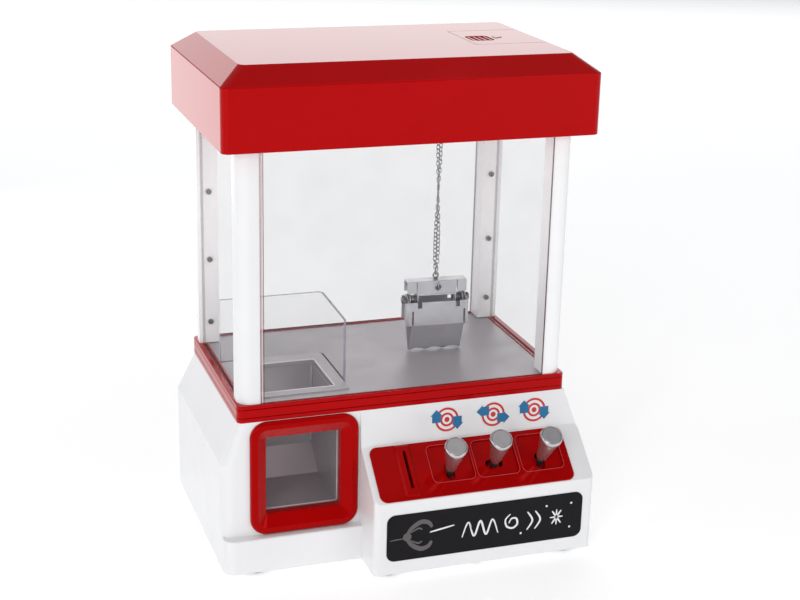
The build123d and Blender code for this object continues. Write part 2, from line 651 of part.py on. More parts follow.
def drive_racks():
    """Racks on the tray that the drive pinions climb along."""
    centre = CLAW_Y + SHAFT_DY
    outline = rack_teeth(-72, 76, centre, TRAY_TOP, SHAFT_Z - PINION_T * MODULE / 2 - 1.2)
    return group([plate_yz(outline, s * RACK_X - 1.75, s * RACK_X + 1.75) for s in (-1, 1)])


def bridge_end(s):
    """End frame: bearing plate, web and the slider that runs on the guide rod."""
    y = CLAW_Y
    x0, x1 = sorted((s * 97.5, s * 100.0))
    plate = block(x0, x1, y - 26, y + 32, 304.5, 331)
    w0, w1 = sorted((s * 100.0, s * 109.0))
    web = block(w0, w1, y - 12, y + 12, 308.5, 316)
    s0, s1 = sorted((s * 109.0, s * 118.0))
    slider = block(s0, s1, y - 12, y + 12, 304.2, 315)
    frame = plate + web + slider
    frame = frame - rod(s * GUIDE_X, y - 20, GUIDE_Z, ROD_R + RUN_FIT, 40, "y")
    frame = frame - rod(min(x0, x1) - 1, y + SHAFT_DY, SHAFT_Z, 1.5 + RUN_FIT, 5, "x")
    for sy in (-1, 1):
        frame = frame - rod(min(x0, x1) - 1, y + sy * ROD_DY, ROD_Z, ROD_R, 5, "x")
    if s < 0:
        frame = frame - rod(x0 - 1, y + SHAFT_DY, SHAFT_Z + MOTOR_DZ, 3.1, 5, "x")
    return frame


def bridge_ends():
    return group([bridge_end(-1), bridge_end(1)])


def bridge_rods():
    return group([rod(-99.8, CLAW_Y + s * ROD_DY, ROD_Z, ROD_R, 199.6, "x") for s in (-1, 1)])


def trolley_rack():
    """Rack along the bridge for the trolley's pinion."""
    y = CLAW_Y + RACK_DY
    outline = rack_teeth(-97.4, 97.4, CLAW_X + TROLLEY_MOTOR_DX, 313.5, DRUM_Z - PINION_T * MODULE / 2 - 1.2)
    return plate_xz(outline, y - 1.5, y + 1.5)


def bridge_motor():
    """Motor on the left end frame, along X, driving down onto the shaft gear."""
    place = Pos(-97.4, CLAW_Y + SHAFT_DY, SHAFT_Z + MOTOR_DZ) * Rot(0, 90, 0) * Rot(0, 0, 90)
    return place * motor(17)


def bridge_motor_pinion():
    place = Pos(-104.4, CLAW_Y + SHAFT_DY, SHAFT_Z + MOTOR_DZ) * Rot(0, 90, 0)
    return place * gear(10, 3.0, 1.0 + RUN_FIT, turn=18)


def drive_shaft():
    return rod(-108.3, CLAW_Y + SHAFT_DY, SHAFT_Z, 1.5, 216.6, "x")


def drive_pinions():
    """Both rack pinions and the driven gear, fast on the shaft."""
    y = CLAW_Y + SHAFT_DY
    pieces = [Pos(s * RACK_X - 1.5, y, SHAFT_Z) * Rot(0, 90, 0) * gear(PINION_T, 3.0, 1.5) for s in (-1, 1)]
    pieces.append(Pos(-104.2, y, SHAFT_Z) * Rot(0, 90, 0) * gear(14, 2.4, 1.5, turn=180))
    return group(pieces)


# ---- trolley: travels left to right on the bridge -------------------------------------------
def trolley_carriage():
    """Carriage on two rods, with the drum's bearings and both motor mounts."""
    x, y = CLAW_X, CLAW_Y
    plate = block(x - 16, x + 34, y - 18, y + 11, 315.5, 317.5)
    plate = plate + block(x - 6.5, x + 15.5, y + 11, y + 33, 315.5, 317.5)
    plate = plate - rod(x, y, 310, 3.2, 10, "z")
    for s in (-1, 1):
        plate = plate + block(x - 14, x + 14, y + s * ROD_DY - 3.5, y + s * ROD_DY + 3.5, 309.6, 316)
    front = block(x - 13, x + 3, y - 9.5, y - 8, 317, 331)
    rear = block(x - 13, x + 15.5, y + 9.5, y + 11, 317, 332.5)
    side = block(x + 13.6, x + 34.4, y - 20.9, y - 19.4, 316, 332.5)
    side = side + block(x + 13.6, x + 34, y - 20.9, y - 16, 315.5, 317.5)
    body = plate + front + rear + side
    for s in (-1, 1):
        body = body - rod(x - 20, y + s * ROD_DY, ROD_Z, ROD_R + RUN_FIT, 60, "x")
    body = body - rod(x + DRUM_DX, y - 12, DRUM_Z, 1.5 + RUN_FIT, 30, "y")
    body = body - rod(x + HOIST_MOTOR_DX, y + 8, DRUM_Z, 3.1, 6, "y")
    return body - rod(x + TROLLEY_MOTOR_DX, y - 22, DRUM_Z, 3.1, 6, "y")


def trolley_motor():
    place = Pos(CLAW_X + TROLLEY_MOTOR_DX, CLAW_Y - 19.3, DRUM_Z) * Rot(-90, 0, 0)
    return place * motor(22)


def trolley_pinion():
    place = Pos(CLAW_X + TROLLEY_MOTOR_DX, CLAW_Y + RACK_DY - 1.5, DRUM_Z) * Rot(-90, 0, 0)
    return place * gear(PINION_T, 2.8, 1.0 + RUN_FIT, turn=90)


def hoist_motor():
    place = Pos(CLAW_X + HOIST_MOTOR_DX, CLAW_Y + 11.1, DRUM_Z) * Rot(-90, 0, 0)
    return place * motor(20)


def hoist_pinion():
    place = Pos(CLAW_X + HOIST_MOTOR_DX, CLAW_Y + 6.2, DRUM_Z) * Rot(-90, 0, 0)
    return place * gear(8, 2.6, 1.0 + RUN_FIT, turn=202.5)


def chain_drum():
    """Drum, its flanges, its gear and its axle in one moulding."""
    x, y = CLAW_X + DRUM_DX, CLAW_Y
    core = rod(x, y - 6.5, DRUM_Z, 4.0, 11.5, "y")
    flanges = rod(x, y - 7.5, DRUM_Z, 6.6, 1.2, "y") + rod(x, y + 4.6, DRUM_Z, 6.6, 1.2, "y")
    axle = rod(x, y - 9.9, DRUM_Z, 1.5, 20.7, "y")
    teeth = Pos(x, y + 6.2, DRUM_Z) * Rot(-90, 0, 0) * gear(12, 2.6, 1.0)
    return core + flanges + axle + teeth


def lift_chain():
    """Stand-in for the twisted chain, straight from the drum to the claw's eye."""
    return rod(CLAW_X, CLAW_Y, YOKE_TOP + 5.5, 1.3, DRUM_Z - YOKE_TOP - 5.5, "z")


# ---- claw ----------------------------------------------------------------------------------
def place_claw(shape):
    return Pos(CLAW_X, CLAW_Y, 0) * Rot(0, 0, CLAW_TURN) * shape


def claw_eye():
    """Swivel rivet with the eye that the chain hangs from."""
    shank = rod(0, 0, YOKE_TOP - 2.6, 1.4, 3.6, "z")
    head = rod(0, 0, YOKE_TOP - 3.0, 3.0, 1.6, "z")
    eye = Pos(0, 0, YOKE_TOP + 2.9) * Rot(90, 0, 0) * Torus(1.9, 0.6)
    return place_claw(shank + head + eye)


def claw_yoke():
    """Bent sheet channel: top, two flanges, end tabs and the arms that hold the pins."""
    t = 1.0
    top = block(-JAW_HALF, JAW_HALF, -YOKE_SIDE, YOKE_SIDE, YOKE_TOP - t, YOKE_TOP)
    flanges = [block(-ARM_X, ARM_X, s * YOKE_SIDE - 0.5, s * YOKE_SIDE + 0.5, YOKE_EDGE, YOKE_TOP) for s in (-1, 1)]
    tabs = []
    for sx in (-1, 1):
        for sy in (-1, 1):
            x0, x1 = sorted((sx * 15.6, sx * 22.5))
            tabs.append(block(x0, x1, sy * YOKE_SIDE - 0.5, sy * YOKE_SIDE + 0.5, YOKE_TOP - 9, YOKE_TOP))
    arms = []
    wide = YOKE_SIDE + 0.5
    for sx in (-1, 1):
        x0, x1 = sorted((sx * ARM_X, sx * (ARM_X + 1.2)))
        arms.append(block(x0, x1, -wide, wide, CLAW_PIVOT, YOKE_TOP) + rod(x0, 0, CLAW_PIVOT, wide, 1.2, "x"))
    yoke = union([top] + flanges + tabs + arms)
    yoke = yoke - rod(0, 0, YOKE_TOP - 3, 1.4 + RUN_FIT, 6, "z")
    yoke = yoke - rod(0.8, -8, YOKE_TOP - 5.2, 2.3, 16, "y")
    return place_claw(yoke - rod(-30, 0, CLAW_PIVOT, 1.3, 60, "x"))


def claw_pins():
    """Short pivot screws, one through each arm and the jaws' ears."""
    pins = []
    for sx in (-1, 1):
        x0, x1 = sorted((sx * 12.6, sx * 23.2))
        h0, h1 = sorted((sx * 23.2, sx * 24.8))
        pin = rod(x0, 0, CLAW_PIVOT, 1.3, x1 - x0, "x")
        head = rod(h0, 0, CLAW_PIVOT, 3.1, h1 - h0, "x")
        spacer = rod(min(sx * 15.1, sx * 17.4), 0, CLAW_PIVOT, 2.6, 2.3, "x")
        slot = block(min(sx * 24.2, sx * 25.4), max(sx * 24.2, sx * 25.4), -0.4, 0.4, CLAW_PIVOT - 4, CLAW_PIVOT + 4)
        pins.append(pin + head + spacer - slot)
    return group(pins)


def jaw(cheek_x):
    """Front jaw: upright plate, sloped scoop with a scalloped lip and two curved cheeks."""
    t = 1.0
    plate = block(-JAW_HALF, JAW_HALF, -JAW_Y, -JAW_Y + t, JAW_CREASE - 1, JAW_TOP)
    for sx in (-1, 1):
        n0, n1 = sorted((sx * 12.7, sx * 16.0))
        plate = plate - block(n0, n1, -JAW_Y - 1, -JAW_Y + 2, JAW_TOP - 4.6, JAW_TOP + 1)
        g0, g1 = sorted((sx * 18.9, sx * 20.2))
        plate = plate - block(g0, g1, -JAW_Y - 1, -JAW_Y + 2, 140, JAW_TOP - 6.6)
    scoop = plate_yz([(-JAW_Y, JAW_CREASE), (-JAW_Y + 1.1, JAW_CREASE), (-0.45, CLAW_TIP), (-1.5, CLAW_TIP)],
                     -19.8, 19.8)
    for i in range(3):
        scoop = scoop - rod(-13.2 + 13.2 * i, -6, CLAW_TIP - 8.6, 10.0, 8, "y")
    cheeks = []
    for sx in (-1, 1):
        x0, x1 = sorted((sx * cheek_x, sx * (cheek_x + 1.0)))
        outline = [(-JAW_Y + 0.2, JAW_TOP), (-JAW_Y + 0.2, JAW_CREASE + 1), (-8.6, 146), (-6.2, 144.4),
                   (-3.4, 143.7), (-0.5, 143.6), (-0.5, 158), (-3.6, CLAW_PIVOT), (-3.9, CLAW_PIVOT + 2.2)]
        cheek = plate_yz(outline, x0, x1) + rod(x0, 0, CLAW_PIVOT, 4.4, 1.0, "x")
        cheeks.append(cheek - rod(x0 - 1, 0, CLAW_PIVOT, 1.3 + RUN_FIT, 3, "x"))
    return plate + scoop + cheeks[0] + cheeks[1]


def jaw_front():
    return place_claw(jaw(21.4))


def jaw_rear():
    return place_claw(Rot(0, 0, 180) * jaw(19.6))


# ---- write ---------------------------------------------------------------------------------
def all_nodes():
    nodes = {
        "base_shell": base_shell(), "base_plate": base_plate(), "case_screws": case_screws(),
        "rubber_feet": rubber_feet(), "deck_rim": deck_rim(), "deck_tray": deck_tray(),
        "prize_chute": prize_chute(), "chute_guard": chute_guard(), "door_frame": door_frame(),
        "control_panel": control_panel(), "lever_bracket": lever_bracket(), "control_board": control_board(),
        "coin_guide": coin_guide(), "coin_drawer": coin_drawer(), "console_label": console_label(),
        "target_decals": target_decals(), "main_board": main_board(), "speaker": speaker(),
        "switch_housing": switch_housing(), "power_switch": power_switch(),
        "window_left": clear_sheet_x(-1), "window_right": clear_sheet_x(1),
        "window_front": clear_sheet_y(-1), "window_back": clear_sheet_y(1),
        "roof_shell": roof_shell(), "roof_tray": roof_tray(), "battery_cover": battery_cover(),
        "battery_box": battery_box(), "batteries": batteries(), "guide_rods": guide_rods(),
        "drive_racks": drive_racks(), "bridge_ends": bridge_ends(), "bridge_rods": bridge_rods(),
        "trolley_rack": trolley_rack(), "bridge_motor": bridge_motor(),
        "bridge_motor_pinion": bridge_motor_pinion(), "drive_shaft": drive_shaft(),
        "drive_pinions": drive_pinions(), "trolley_carriage": trolley_carriage(),
        "trolley_motor": trolley_motor(), "trolley_pinion": trolley_pinion(), "hoist_motor": hoist_motor(),
        "hoist_pinion": hoist_pinion(), "chain_drum": chain_drum(), "lift_chain": lift_chain(),
        "claw_eye": claw_eye(), "claw_yoke": claw_yoke(), "claw_pins": place_claw(claw_pins()),
        "jaw_front": jaw_front(), "jaw_rear": jaw_rear(),
    }
    for sx, side in ((-1, "left"), (1, "right")):
        nodes["post_front_" + side] = post(sx, -1)
        nodes["post_back_" + side] = post(sx, 1)
    for i in range(3):
        nodes[f"lever_stem_{i + 1}"] = lever_stem(i)
        nodes[f"lever_knob_{i + 1}"] = lever_knob(i)
    return nodes


os.makedirs("parts", exist_ok=True)
for name, shape in all_nodes().items():
    export_step(Pos(0, ORIGIN_SHIFT, 0) * shape, f"parts/{name}.step")
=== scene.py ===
import json
from math import cos, pi, radians, sin

import bmesh
import bpy
from mathutils import Matrix, Vector


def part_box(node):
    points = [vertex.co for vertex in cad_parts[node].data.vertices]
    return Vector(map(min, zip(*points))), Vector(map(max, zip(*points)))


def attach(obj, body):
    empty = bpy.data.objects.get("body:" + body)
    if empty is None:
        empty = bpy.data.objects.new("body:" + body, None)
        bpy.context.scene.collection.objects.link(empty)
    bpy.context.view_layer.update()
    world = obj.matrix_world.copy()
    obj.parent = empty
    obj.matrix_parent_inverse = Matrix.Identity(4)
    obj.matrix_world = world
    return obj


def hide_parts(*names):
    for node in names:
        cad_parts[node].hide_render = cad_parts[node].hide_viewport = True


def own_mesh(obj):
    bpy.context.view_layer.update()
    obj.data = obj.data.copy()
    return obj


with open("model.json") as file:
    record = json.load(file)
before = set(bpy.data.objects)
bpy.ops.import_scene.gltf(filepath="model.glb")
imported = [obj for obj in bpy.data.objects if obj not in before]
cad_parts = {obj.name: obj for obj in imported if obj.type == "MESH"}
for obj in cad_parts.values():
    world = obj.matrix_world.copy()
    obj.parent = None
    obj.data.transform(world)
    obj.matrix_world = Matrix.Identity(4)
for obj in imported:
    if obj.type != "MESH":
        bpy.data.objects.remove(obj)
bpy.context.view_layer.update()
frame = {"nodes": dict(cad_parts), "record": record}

NODES = frame["nodes"]
JOINTS = {joint["name"]: joint for joint in frame["record"]["behaviour"]["joints"]}
MM = 0.001
RIM_LOW, RIM_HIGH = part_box("deck_rim")
MIDDLE_Y = (RIM_LOW.y + RIM_HIGH.y) / 2          # the cabinet's own middle, front to back


def at(x, y, z):
    """A point given in millimetres from the middle of the cabinet, on the floor."""
    return Vector((x * MM, y * MM + MIDDLE_Y, z * MM))


def upright_frame(origin, normal):
    """Frame on a face: X to the right, Z out of the face, in millimetres."""
    z = Vector(normal).normalized()
    x = Vector((1, 0, 0))
    axes = Matrix((x, z.cross(x), z)).transposed().to_4x4()
    return Matrix.Translation(origin) @ axes @ Matrix.Scale(MM, 4)


# ---- materials -------------------------------------------------------------------------------
class Look:
    """A Principled material with short calls for what varies over the surface."""

    def __init__(self, name, colour, roughness, **sockets):
        self.mat = bpy.data.materials.new(name)
        self.mat.use_nodes = True
        self.tree = self.mat.node_tree
        self.shader = self.tree.nodes["Principled BSDF"]
        self.shader.inputs["Base Color"].default_value = (*colour, 1)
        self.shader.inputs["Roughness"].default_value = roughness
        for key, value in sockets.items():
            label = key.replace("_", " ").title().replace("Ior", "IOR")
            self.shader.inputs[label].default_value = value
        self.normal = None

    def node(self, kind, **values):
        n = self.tree.nodes.new(kind)
        for key, value in values.items():
            setattr(n, key, value)
        return n

    def noise(self, scale, detail=2.0, stretch=(1, 1, 1)):
        coord = self.node("ShaderNodeTexCoord")
        mapping = self.node("ShaderNodeMapping")
        mapping.inputs["Scale"].default_value = stretch
        noise = self.node("ShaderNodeTexNoise")
        noise.inputs["Scale"].default_value = scale
        noise.inputs["Detail"].default_value = detail
        self.tree.links.new(coord.outputs["Object"], mapping.inputs["Vector"])
        self.tree.links.new(mapping.outputs["Vector"], noise.inputs["Vector"])
        return noise.outputs["Fac"]

    def ramp(self, fac, stops):
        ramp = self.node("ShaderNodeValToRGB")
        elements = ramp.color_ramp.elements
        while len(elements) < len(stops):
            elements.new(0.5)
        for e, (place, colour) in zip(elements, stops):
            e.position = place
            e.color = (*colour, 1)
        self.tree.links.new(fac, ramp.inputs["Fac"])
        return ramp.outputs["Color"]

    def mottle(self, fac, dark, light):
        """Colour that drifts between a darker and a lighter tone."""
        return self.drive("Base Color", self.ramp(fac, [(0.3, dark), (0.7, light)]))

    def spread(self, fac, low, high, start=0.3, end=0.7):
        """Stretches start..end of a varying value over low..high."""
        span = self.node("ShaderNodeMapRange")
        ends = (("From Min", start), ("From Max", end), ("To Min", low), ("To Max", high))
        for key, value in ends:
            span.inputs[key].default_value = value
        self.tree.links.new(fac, span.inputs["Value"])
        return span.outputs["Result"]

    def combine(self, operation, first, second):
        """Joins two varying values, or a varying one and a number."""
        n = self.node("ShaderNodeMath", operation=operation)
        for socket, value in zip(n.inputs, (first, second)):
            if isinstance(value, (int, float)):
                socket.default_value = value
            else:
                self.tree.links.new(value, socket)
        return n.outputs[0]

    def drive(self, socket, output):
        self.tree.links.new(output, self.shader.inputs[socket])
        return self

    def lay(self, normal):
        """Makes this the shader's normal, and the ground for the next layer of relief."""
        self.normal = normal
        self.tree.links.new(normal, self.shader.inputs["Normal"])
        return self

    def soften(self, radius):
        """Rounds the look of edges by a radius in metres."""
        edge = self.node("ShaderNodeBevel", samples=6)
        edge.inputs["Radius"].default_value = radius
        return self.lay(edge.outputs["Normal"])

    def bump(self, fac, distance, strength):
        """Adds a layer of relief; `distance` is its depth in metres."""
        bump = self.node("ShaderNodeBump")
        bump.inputs["Strength"].default_value = strength
        bump.inputs["Distance"].default_value = distance
        self.tree.links.new(fac, bump.inputs["Height"])
        if self.normal is not None:
            self.tree.links.new(self.normal, bump.inputs["Normal"])
        return self.lay(bump.outputs["Normal"])


def shade(colour, k):
    return tuple(c * k for c in colour)


def moulded(name, colour, roughness, grain=0.000004, edge=0.0004, wave=0.00003, **sockets):
    """Injection-moulded plastic: faint mottling, uneven gloss, slight waves, softened edges.

    `grain`, `edge` and `wave` are in metres: the fine texture's depth, the edges' radius and
    the waves' depth.
    """
    look = Look(name, colour, roughness, **sockets)
    look.mottle(look.noise(14, 3), shade(colour, 0.97), shade(colour, 1.02))
    look.drive("Roughness", look.spread(look.noise(60), roughness * 0.9, roughness * 1.12))
    look.soften(edge)
    look.bump(look.noise(28, 1), wave, 0.2)
    if grain:
        look.bump(look.noise(1800), grain, 0.4)
    return look.mat


def metal(name, colour, roughness, scale=900, depth=0.000006, edge=0.0003, metallic=1.0, shadow=0):
    """Bare metal with fine lines and a few duller patches.

    Within `shadow` metres of another surface its colour is darker: painted shade in crevices.
    """
    look = Look(name, colour, roughness, metallic=metallic)
    patches = look.noise(70)
    if shadow:
        # Painted shade: ambient occlusion darkens the colour near other surfaces.
        crevice_shade = look.node("ShaderNodeAmbientOcclusion", samples=8)
        crevice_shade.inputs["Distance"].default_value = shadow
        open_air = look.spread(crevice_shade.outputs["AO"], 0.0, 0.7, 0.35, 0.85)
        # From here `patches` holds the painted shade as well as the duller patches.
        patches = look.combine("ADD", open_air, look.spread(patches, 0.0, 0.3))
        stops = [(0.0, shade(colour, 0.22)), (0.45, shade(colour, 0.72)), (1.0, shade(colour, 1.02))]
        look.drive("Base Color", look.ramp(patches, stops))
    else:
        look.mottle(patches, shade(colour, 0.93), colour)
    look.drive("Roughness", look.spread(look.noise(scale), roughness * 0.85, roughness * 1.15))
    if edge:
        look.soften(edge)
    look.bump(look.noise(scale, 3), depth, 0.4)
    return look.mat


def turned_cap(name, colour, roughness):
    """Metallised disc with the fine rings of a lathe."""
    look = Look(name, colour, roughness, metallic=0.85)
    look.mottle(look.noise(160, 3), shade(colour, 0.94), colour)
    look.drive("Roughness", look.spread(look.noise(1200), roughness * 0.8, roughness * 1.2))
    coord = look.node("ShaderNodeTexCoord")
    rings = look.node("ShaderNodeTexWave", wave_type="RINGS", rings_direction="SPHERICAL")
    rings.inputs["Scale"].default_value = 500
    look.tree.links.new(coord.outputs["Object"], rings.inputs["Vector"])
    look.bump(rings.outputs["Fac"], 0.000004, 0.3)
    return look.mat


CLEAR = (0.30, 0.30, 0.32)


def clear_sheet(name, thin_axes, haze, painted_edge_reflection, edge_alpha):
    """Clear plastic: see-through face on, hazier towards grazing angles, its cut edges painted with a
    colour that stands for what they reflect: painted reflection.

    The edges are the faces whose normals have none of `thin_axes`, the sheet's thickness.
    """
    look = Look(name, CLEAR, 0.06)
    layer = look.node("ShaderNodeLayerWeight")
    layer.inputs["Blend"].default_value = 0.25
    cloud = look.combine("MULTIPLY", look.noise(30, 3), haze)
    grazing = look.spread(layer.outputs["Facing"], haze * 0.6, haze * 2, 0.3, 1.0)
    face = look.combine("ADD", grazing, cloud)
    geometry = look.node("ShaderNodeNewGeometry")
    split = look.node("ShaderNodeSeparateXYZ")
    look.tree.links.new(geometry.outputs["Normal"], split.inputs["Vector"])
    flat = None
    for axis in thin_axes:
        size = look.combine("ABSOLUTE", split.outputs[axis], 0)
        flat = size if flat is None else look.combine("MAXIMUM", flat, size)
    edge = look.spread(flat, 1.0, 0.0, 0.3, 0.65)
    look.drive("Base Color", look.ramp(edge, [(0.0, CLEAR), (1.0, painted_edge_reflection)]))
    solid = look.combine("MULTIPLY", edge, edge_alpha)
    look.drive("Alpha", look.combine("MAXIMUM", face, solid))
    return look.mat


# The red plastics' reflections are red seen straight on.
TINT = (1, 0.12, 0.12, 1)
DEEP_TINT = (1, 0.06, 0.06, 1)
RED = moulded("red_gloss", (0.42, 0.0012, 0.0022), 0.09, specular_tint=TINT)
PANEL_RED = moulded("panel_red_gloss", (0.33, 0.0006, 0.0008), 0.07,
                    specular_tint=DEEP_TINT, edge=0.0003)
BEZEL_RED = moulded("bezel_red_gloss", (0.36, 0.0008, 0.001), 0.1, specular_tint=DEEP_TINT)
# Lighter red for the pockets' rims: a painted highlight along their edges.
RIM_HIGHLIGHT_RED = moulded("pocket_rim_painted_highlight", (0.6, 0.03, 0.035), 0.12, grain=0)

WHITE = moulded("white_gloss", (0.82, 0.82, 0.83), 0.17)
# A lighter white for three posts: painted light that makes up for the shade they stand in inside the
# cabinet.
POST_PAINTED_LIGHT = moulded("white_post_painted_light", (0.94, 0.94, 0.945), 0.2)
BLACK = moulded("black_moulding", (0.02, 0.02, 0.022), 0.4)
NYLON = moulded("natural_nylon", (0.74, 0.72, 0.65), 0.35)
GREEN = moulded("lacquered_board", (0.02, 0.13, 0.05), 0.25)
RUBBER = moulded("black_rubber", (0.02, 0.02, 0.02), 0.75)
CELL = moulded("cell_sleeve", (0.03, 0.04, 0.06), 0.3)
GRIP = moulded("metallised_grip", (0.55, 0.545, 0.55), 0.22, metallic=0.9)
CAP = turned_cap("turned_cap", (0.40, 0.39, 0.40), 0.35)

# Silver paint has no grain and hardly a wave, or the deck looks mottled.
FLAT_WAVE = 0.000001
SILVER = moulded("silver_deck_paint", (0.47, 0.455, 0.475), 0.4, grain=0, wave=FLAT_WAVE,
                 metallic=0.4, specular_ior_level=0.3)
# A little darker than the deck's silver: painted shade for the chute's shaded inside.
CHUTE = moulded("silver_chute_paint", (0.45, 0.42, 0.44), 0.34, grain=0, wave=FLAT_WAVE,
                metallic=0.5)
# Near white, far lighter than the silver deck: a painted highlight on the hole's rolled lip.
LIP_HIGHLIGHT = moulded("lip_painted_highlight", (0.95, 0.94, 0.95), 0.2, grain=0)
# Lighter than the chute's silver: painted highlights on its seam and on the door's rolled edge.
TRIM_HIGHLIGHT = moulded("pocket_edge_painted_highlight", (0.6, 0.58, 0.6), 0.25, grain=0)

# The claw's edges are rounded by modifiers, so its plating softens none.
PLATING_DEPTH = 0.0000004
STEEL = metal("ground_steel", (0.6, 0.6, 0.61), 0.25)
SCREW = metal("zinc_screw", (0.24, 0.235, 0.23), 0.25)
# With `shadow` set, its colour darkens in crevices: painted shade.
CLAW = metal("claw_plating", (0.6, 0.6, 0.625), 0.33, scale=120, depth=PLATING_DEPTH, edge=0,
             metallic=0.72, shadow=0.004)
# Lighter than the claw's plating: a painted highlight on the rolled flange edges.
ROLL_HIGHLIGHT = metal("roll_painted_highlight", (0.85, 0.85, 0.87), 0.18, scale=200, depth=PLATING_DEPTH, edge=0,
               metallic=0.8)
CHAIN = metal("chain_plating", (0.3, 0.29, 0.29), 0.16, scale=300, depth=0.000001, edge=0)

INK_EDGE = 0.0001
FILM = moulded("dark_film", (0.008, 0.007, 0.009), 0.16, specular_ior_level=0.12)
STICKER = moulded("white_vinyl", (0.82, 0.82, 0.82), 0.3, edge=INK_EDGE)
RED_INK = moulded("red_ink", (0.6, 0.02, 0.022), 0.35, edge=INK_EDGE)
BLUE_INK = moulded("blue_ink", (0.003, 0.15, 0.34), 0.35, edge=INK_EDGE)
WHITE_INK = moulded("white_ink", (0.78, 0.78, 0.78), 0.35, edge=INK_EDGE)
GREY_INK = moulded("grey_ink", (0.10, 0.09, 0.09), 0.35, edge=INK_EDGE)

# The cut edges' colours are painted reflections of the cabinet round them.
PANE_X = clear_sheet("pane_side", "X", 0.045, (0.46, 0.44, 0.47), 0.45)
PANE_Y = clear_sheet("pane_front", "Y", 0.055, (0.14, 0.07, 0.075), 0.85)
GUARD = clear_sheet("guard_sheet", "XY", 0.05, (0.09, 0.085, 0.095), 0.9)
CUT_EDGE = clear_sheet("sheet_cut_edge", "Z", 0.4, (0.30, 0.26, 0.36), 0.8)
# Bright and dark lines that stand for the front sheet's cut edges: painted reflections.
EDGE_PAINTED_BRIGHT = clear_sheet("sheet_edge_painted_bright", "Z", 0.3, (0.74, 0.52, 0.54), 0.75)
EDGE_PAINTED_DARK = moulded("sheet_edge_line", (0.13, 0.05, 0.06), 0.3, grain=0)

# What each material slot of the record is painted with, and the nodes that differ from theirs.
PAINT = {
    "white_shell": WHITE, "red_trim": RED, "silver_deck": SILVER, "clear_sheet": PANE_Y,
    "chute_grey": CHUTE, "claw_steel": CLAW, "chain_steel": CHAIN, "rod_steel": STEEL,
    "motor_steel": STEEL, "screw_steel": SCREW, "lever_silver": GRIP, "black_plastic": BLACK,
    "gear_nylon": NYLON, "label_film": FILM, "decal_film": STICKER, "rubber_black": RUBBER,
    "board_green": GREEN, "cell_jacket": CELL,
}
SPECIAL = {
    "control_panel": PANEL_RED, "door_frame": BEZEL_RED,
    "window_left": PANE_X, "window_right": PANE_X, "chute_guard": GUARD,
    # These three posts take the lighter white: painted light.
    "post_front_right": POST_PAINTED_LIGHT, "post_back_left": POST_PAINTED_LIGHT, "post_back_right": POST_PAINTED_LIGHT,
}
for part in frame["record"]["subparts"]:
    paint = SPECIAL.get(part["node"], PAINT[part["material_slot"]])
    NODES[part["node"]].material_slots[0].material = paint

# The claw's stamped sheets have slightly rounded edges.
ROUND_MM = 0.22
ROUND_OVER_DEG = 40
WELD_GAP = 0.000002
for name in ("claw_yoke", "jaw_front", "jaw_rear"):
    weld = NODES[name].modifiers.new("weld", "WELD")
    weld.merge_threshold = WELD_GAP
    rounding = NODES[name].modifiers.new("rounded_edges", "BEVEL")
    rounding.width = ROUND_MM * MM
    rounding.segments = 2
    rounding.limit_method = "ANGLE"
    rounding.angle_limit = radians(ROUND_OVER_DEG)
    rounding.harden_normals = True


# ---- mesh helpers ----------------------------------------------------------------------------
SHARP_DEG = 38


def add_piece(name, bm, body, material, stands_for=(), second=None):
    """Turns a bmesh into a finished piece that rides on a body."""
    bmesh.ops.recalc_face_normals(bm, faces=bm.faces)
    mesh = bpy.data.meshes.new(name)
    bm.to_mesh(mesh)
    bm.free()
    mesh.materials.append(material)
    if second:
        mesh.materials.append(second)
    mesh.shade_smooth()
    mesh.set_sharp_from_angle(angle=radians(SHARP_DEG))
    piece = bpy.data.objects.new(name, mesh)
    bpy.context.collection.objects.link(piece)
    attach(piece, body)
    if stands_for:
        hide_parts(*stands_for)
    return piece


def lathe(bm, profile, place, segments=64, closed=False):
    """Turns a profile of (radius, height) points about the frame's Z."""
    rings = []
    for r, h in profile:
        count = 1 if r == 0 else segments
        turn = [2 * pi * i / segments for i in range(count)]
        rings.append([bm.verts.new(place @ Vector((r * cos(a), r * sin(a), h))) for a in turn])
    pairs = list(zip(rings, rings[1:]))
    if closed:
        pairs.append((rings[-1], rings[0]))
    for low, high in pairs:
        if len(low) + len(high) == 2:
            continue
        for i in range(segments):
            j = i + 1
            corners = [low[i % len(low)], low[j % len(low)], high[j % len(high)], high[i % len(high)]]
            distinct = [v for k, v in enumerate(corners) if v not in corners[:k]]
            bm.faces.new(distinct)


def prism(bm, outline, place, low, high):
    """Thin solid with a flat outline, between two heights of a frame."""
    bottom = [bm.verts.new(place @ Vector((x, y, low))) for x, y in outline]
    top = [bm.verts.new(place @ Vector((x, y, high))) for x, y in outline]
    bm.faces.new(bottom)
    bm.faces.new(top)
    for i in range(len(outline)):
        j = (i + 1) % len(outline)
        bm.faces.new([bottom[i], bottom[j], top[j], top[i]])


def tube(bm, path, radius, sides=8, closed=False):
    """Round wire along a path of points in metres."""
    count = len(path)
    rings = []
    side = None
    for i, p in enumerate(path):
        before = path[i - 1] if i or closed else p
        after = path[(i + 1) % count] if i < count - 1 or closed else p
        along = (after - before).normalized()
        if side is None:
            side = along.orthogonal().normalized()
        side = (side - side.dot(along) * along).normalized()
        other = along.cross(side)
        turn = [2 * pi * k / sides for k in range(sides)]
        rings.append([bm.verts.new(p + radius * (cos(a) * side + sin(a) * other)) for a in turn])
    pairs = list(zip(rings, rings[1:]))
    if closed:
        pairs.append((rings[-1], rings[0]))
    else:
        bm.faces.new(rings[0])
        bm.faces.new(rings[-1])
    for low, high in pairs:
        for k in range(sides):
            m = (k + 1) % sides
            bm.faces.new([low[k], low[m], high[m], high[k]])


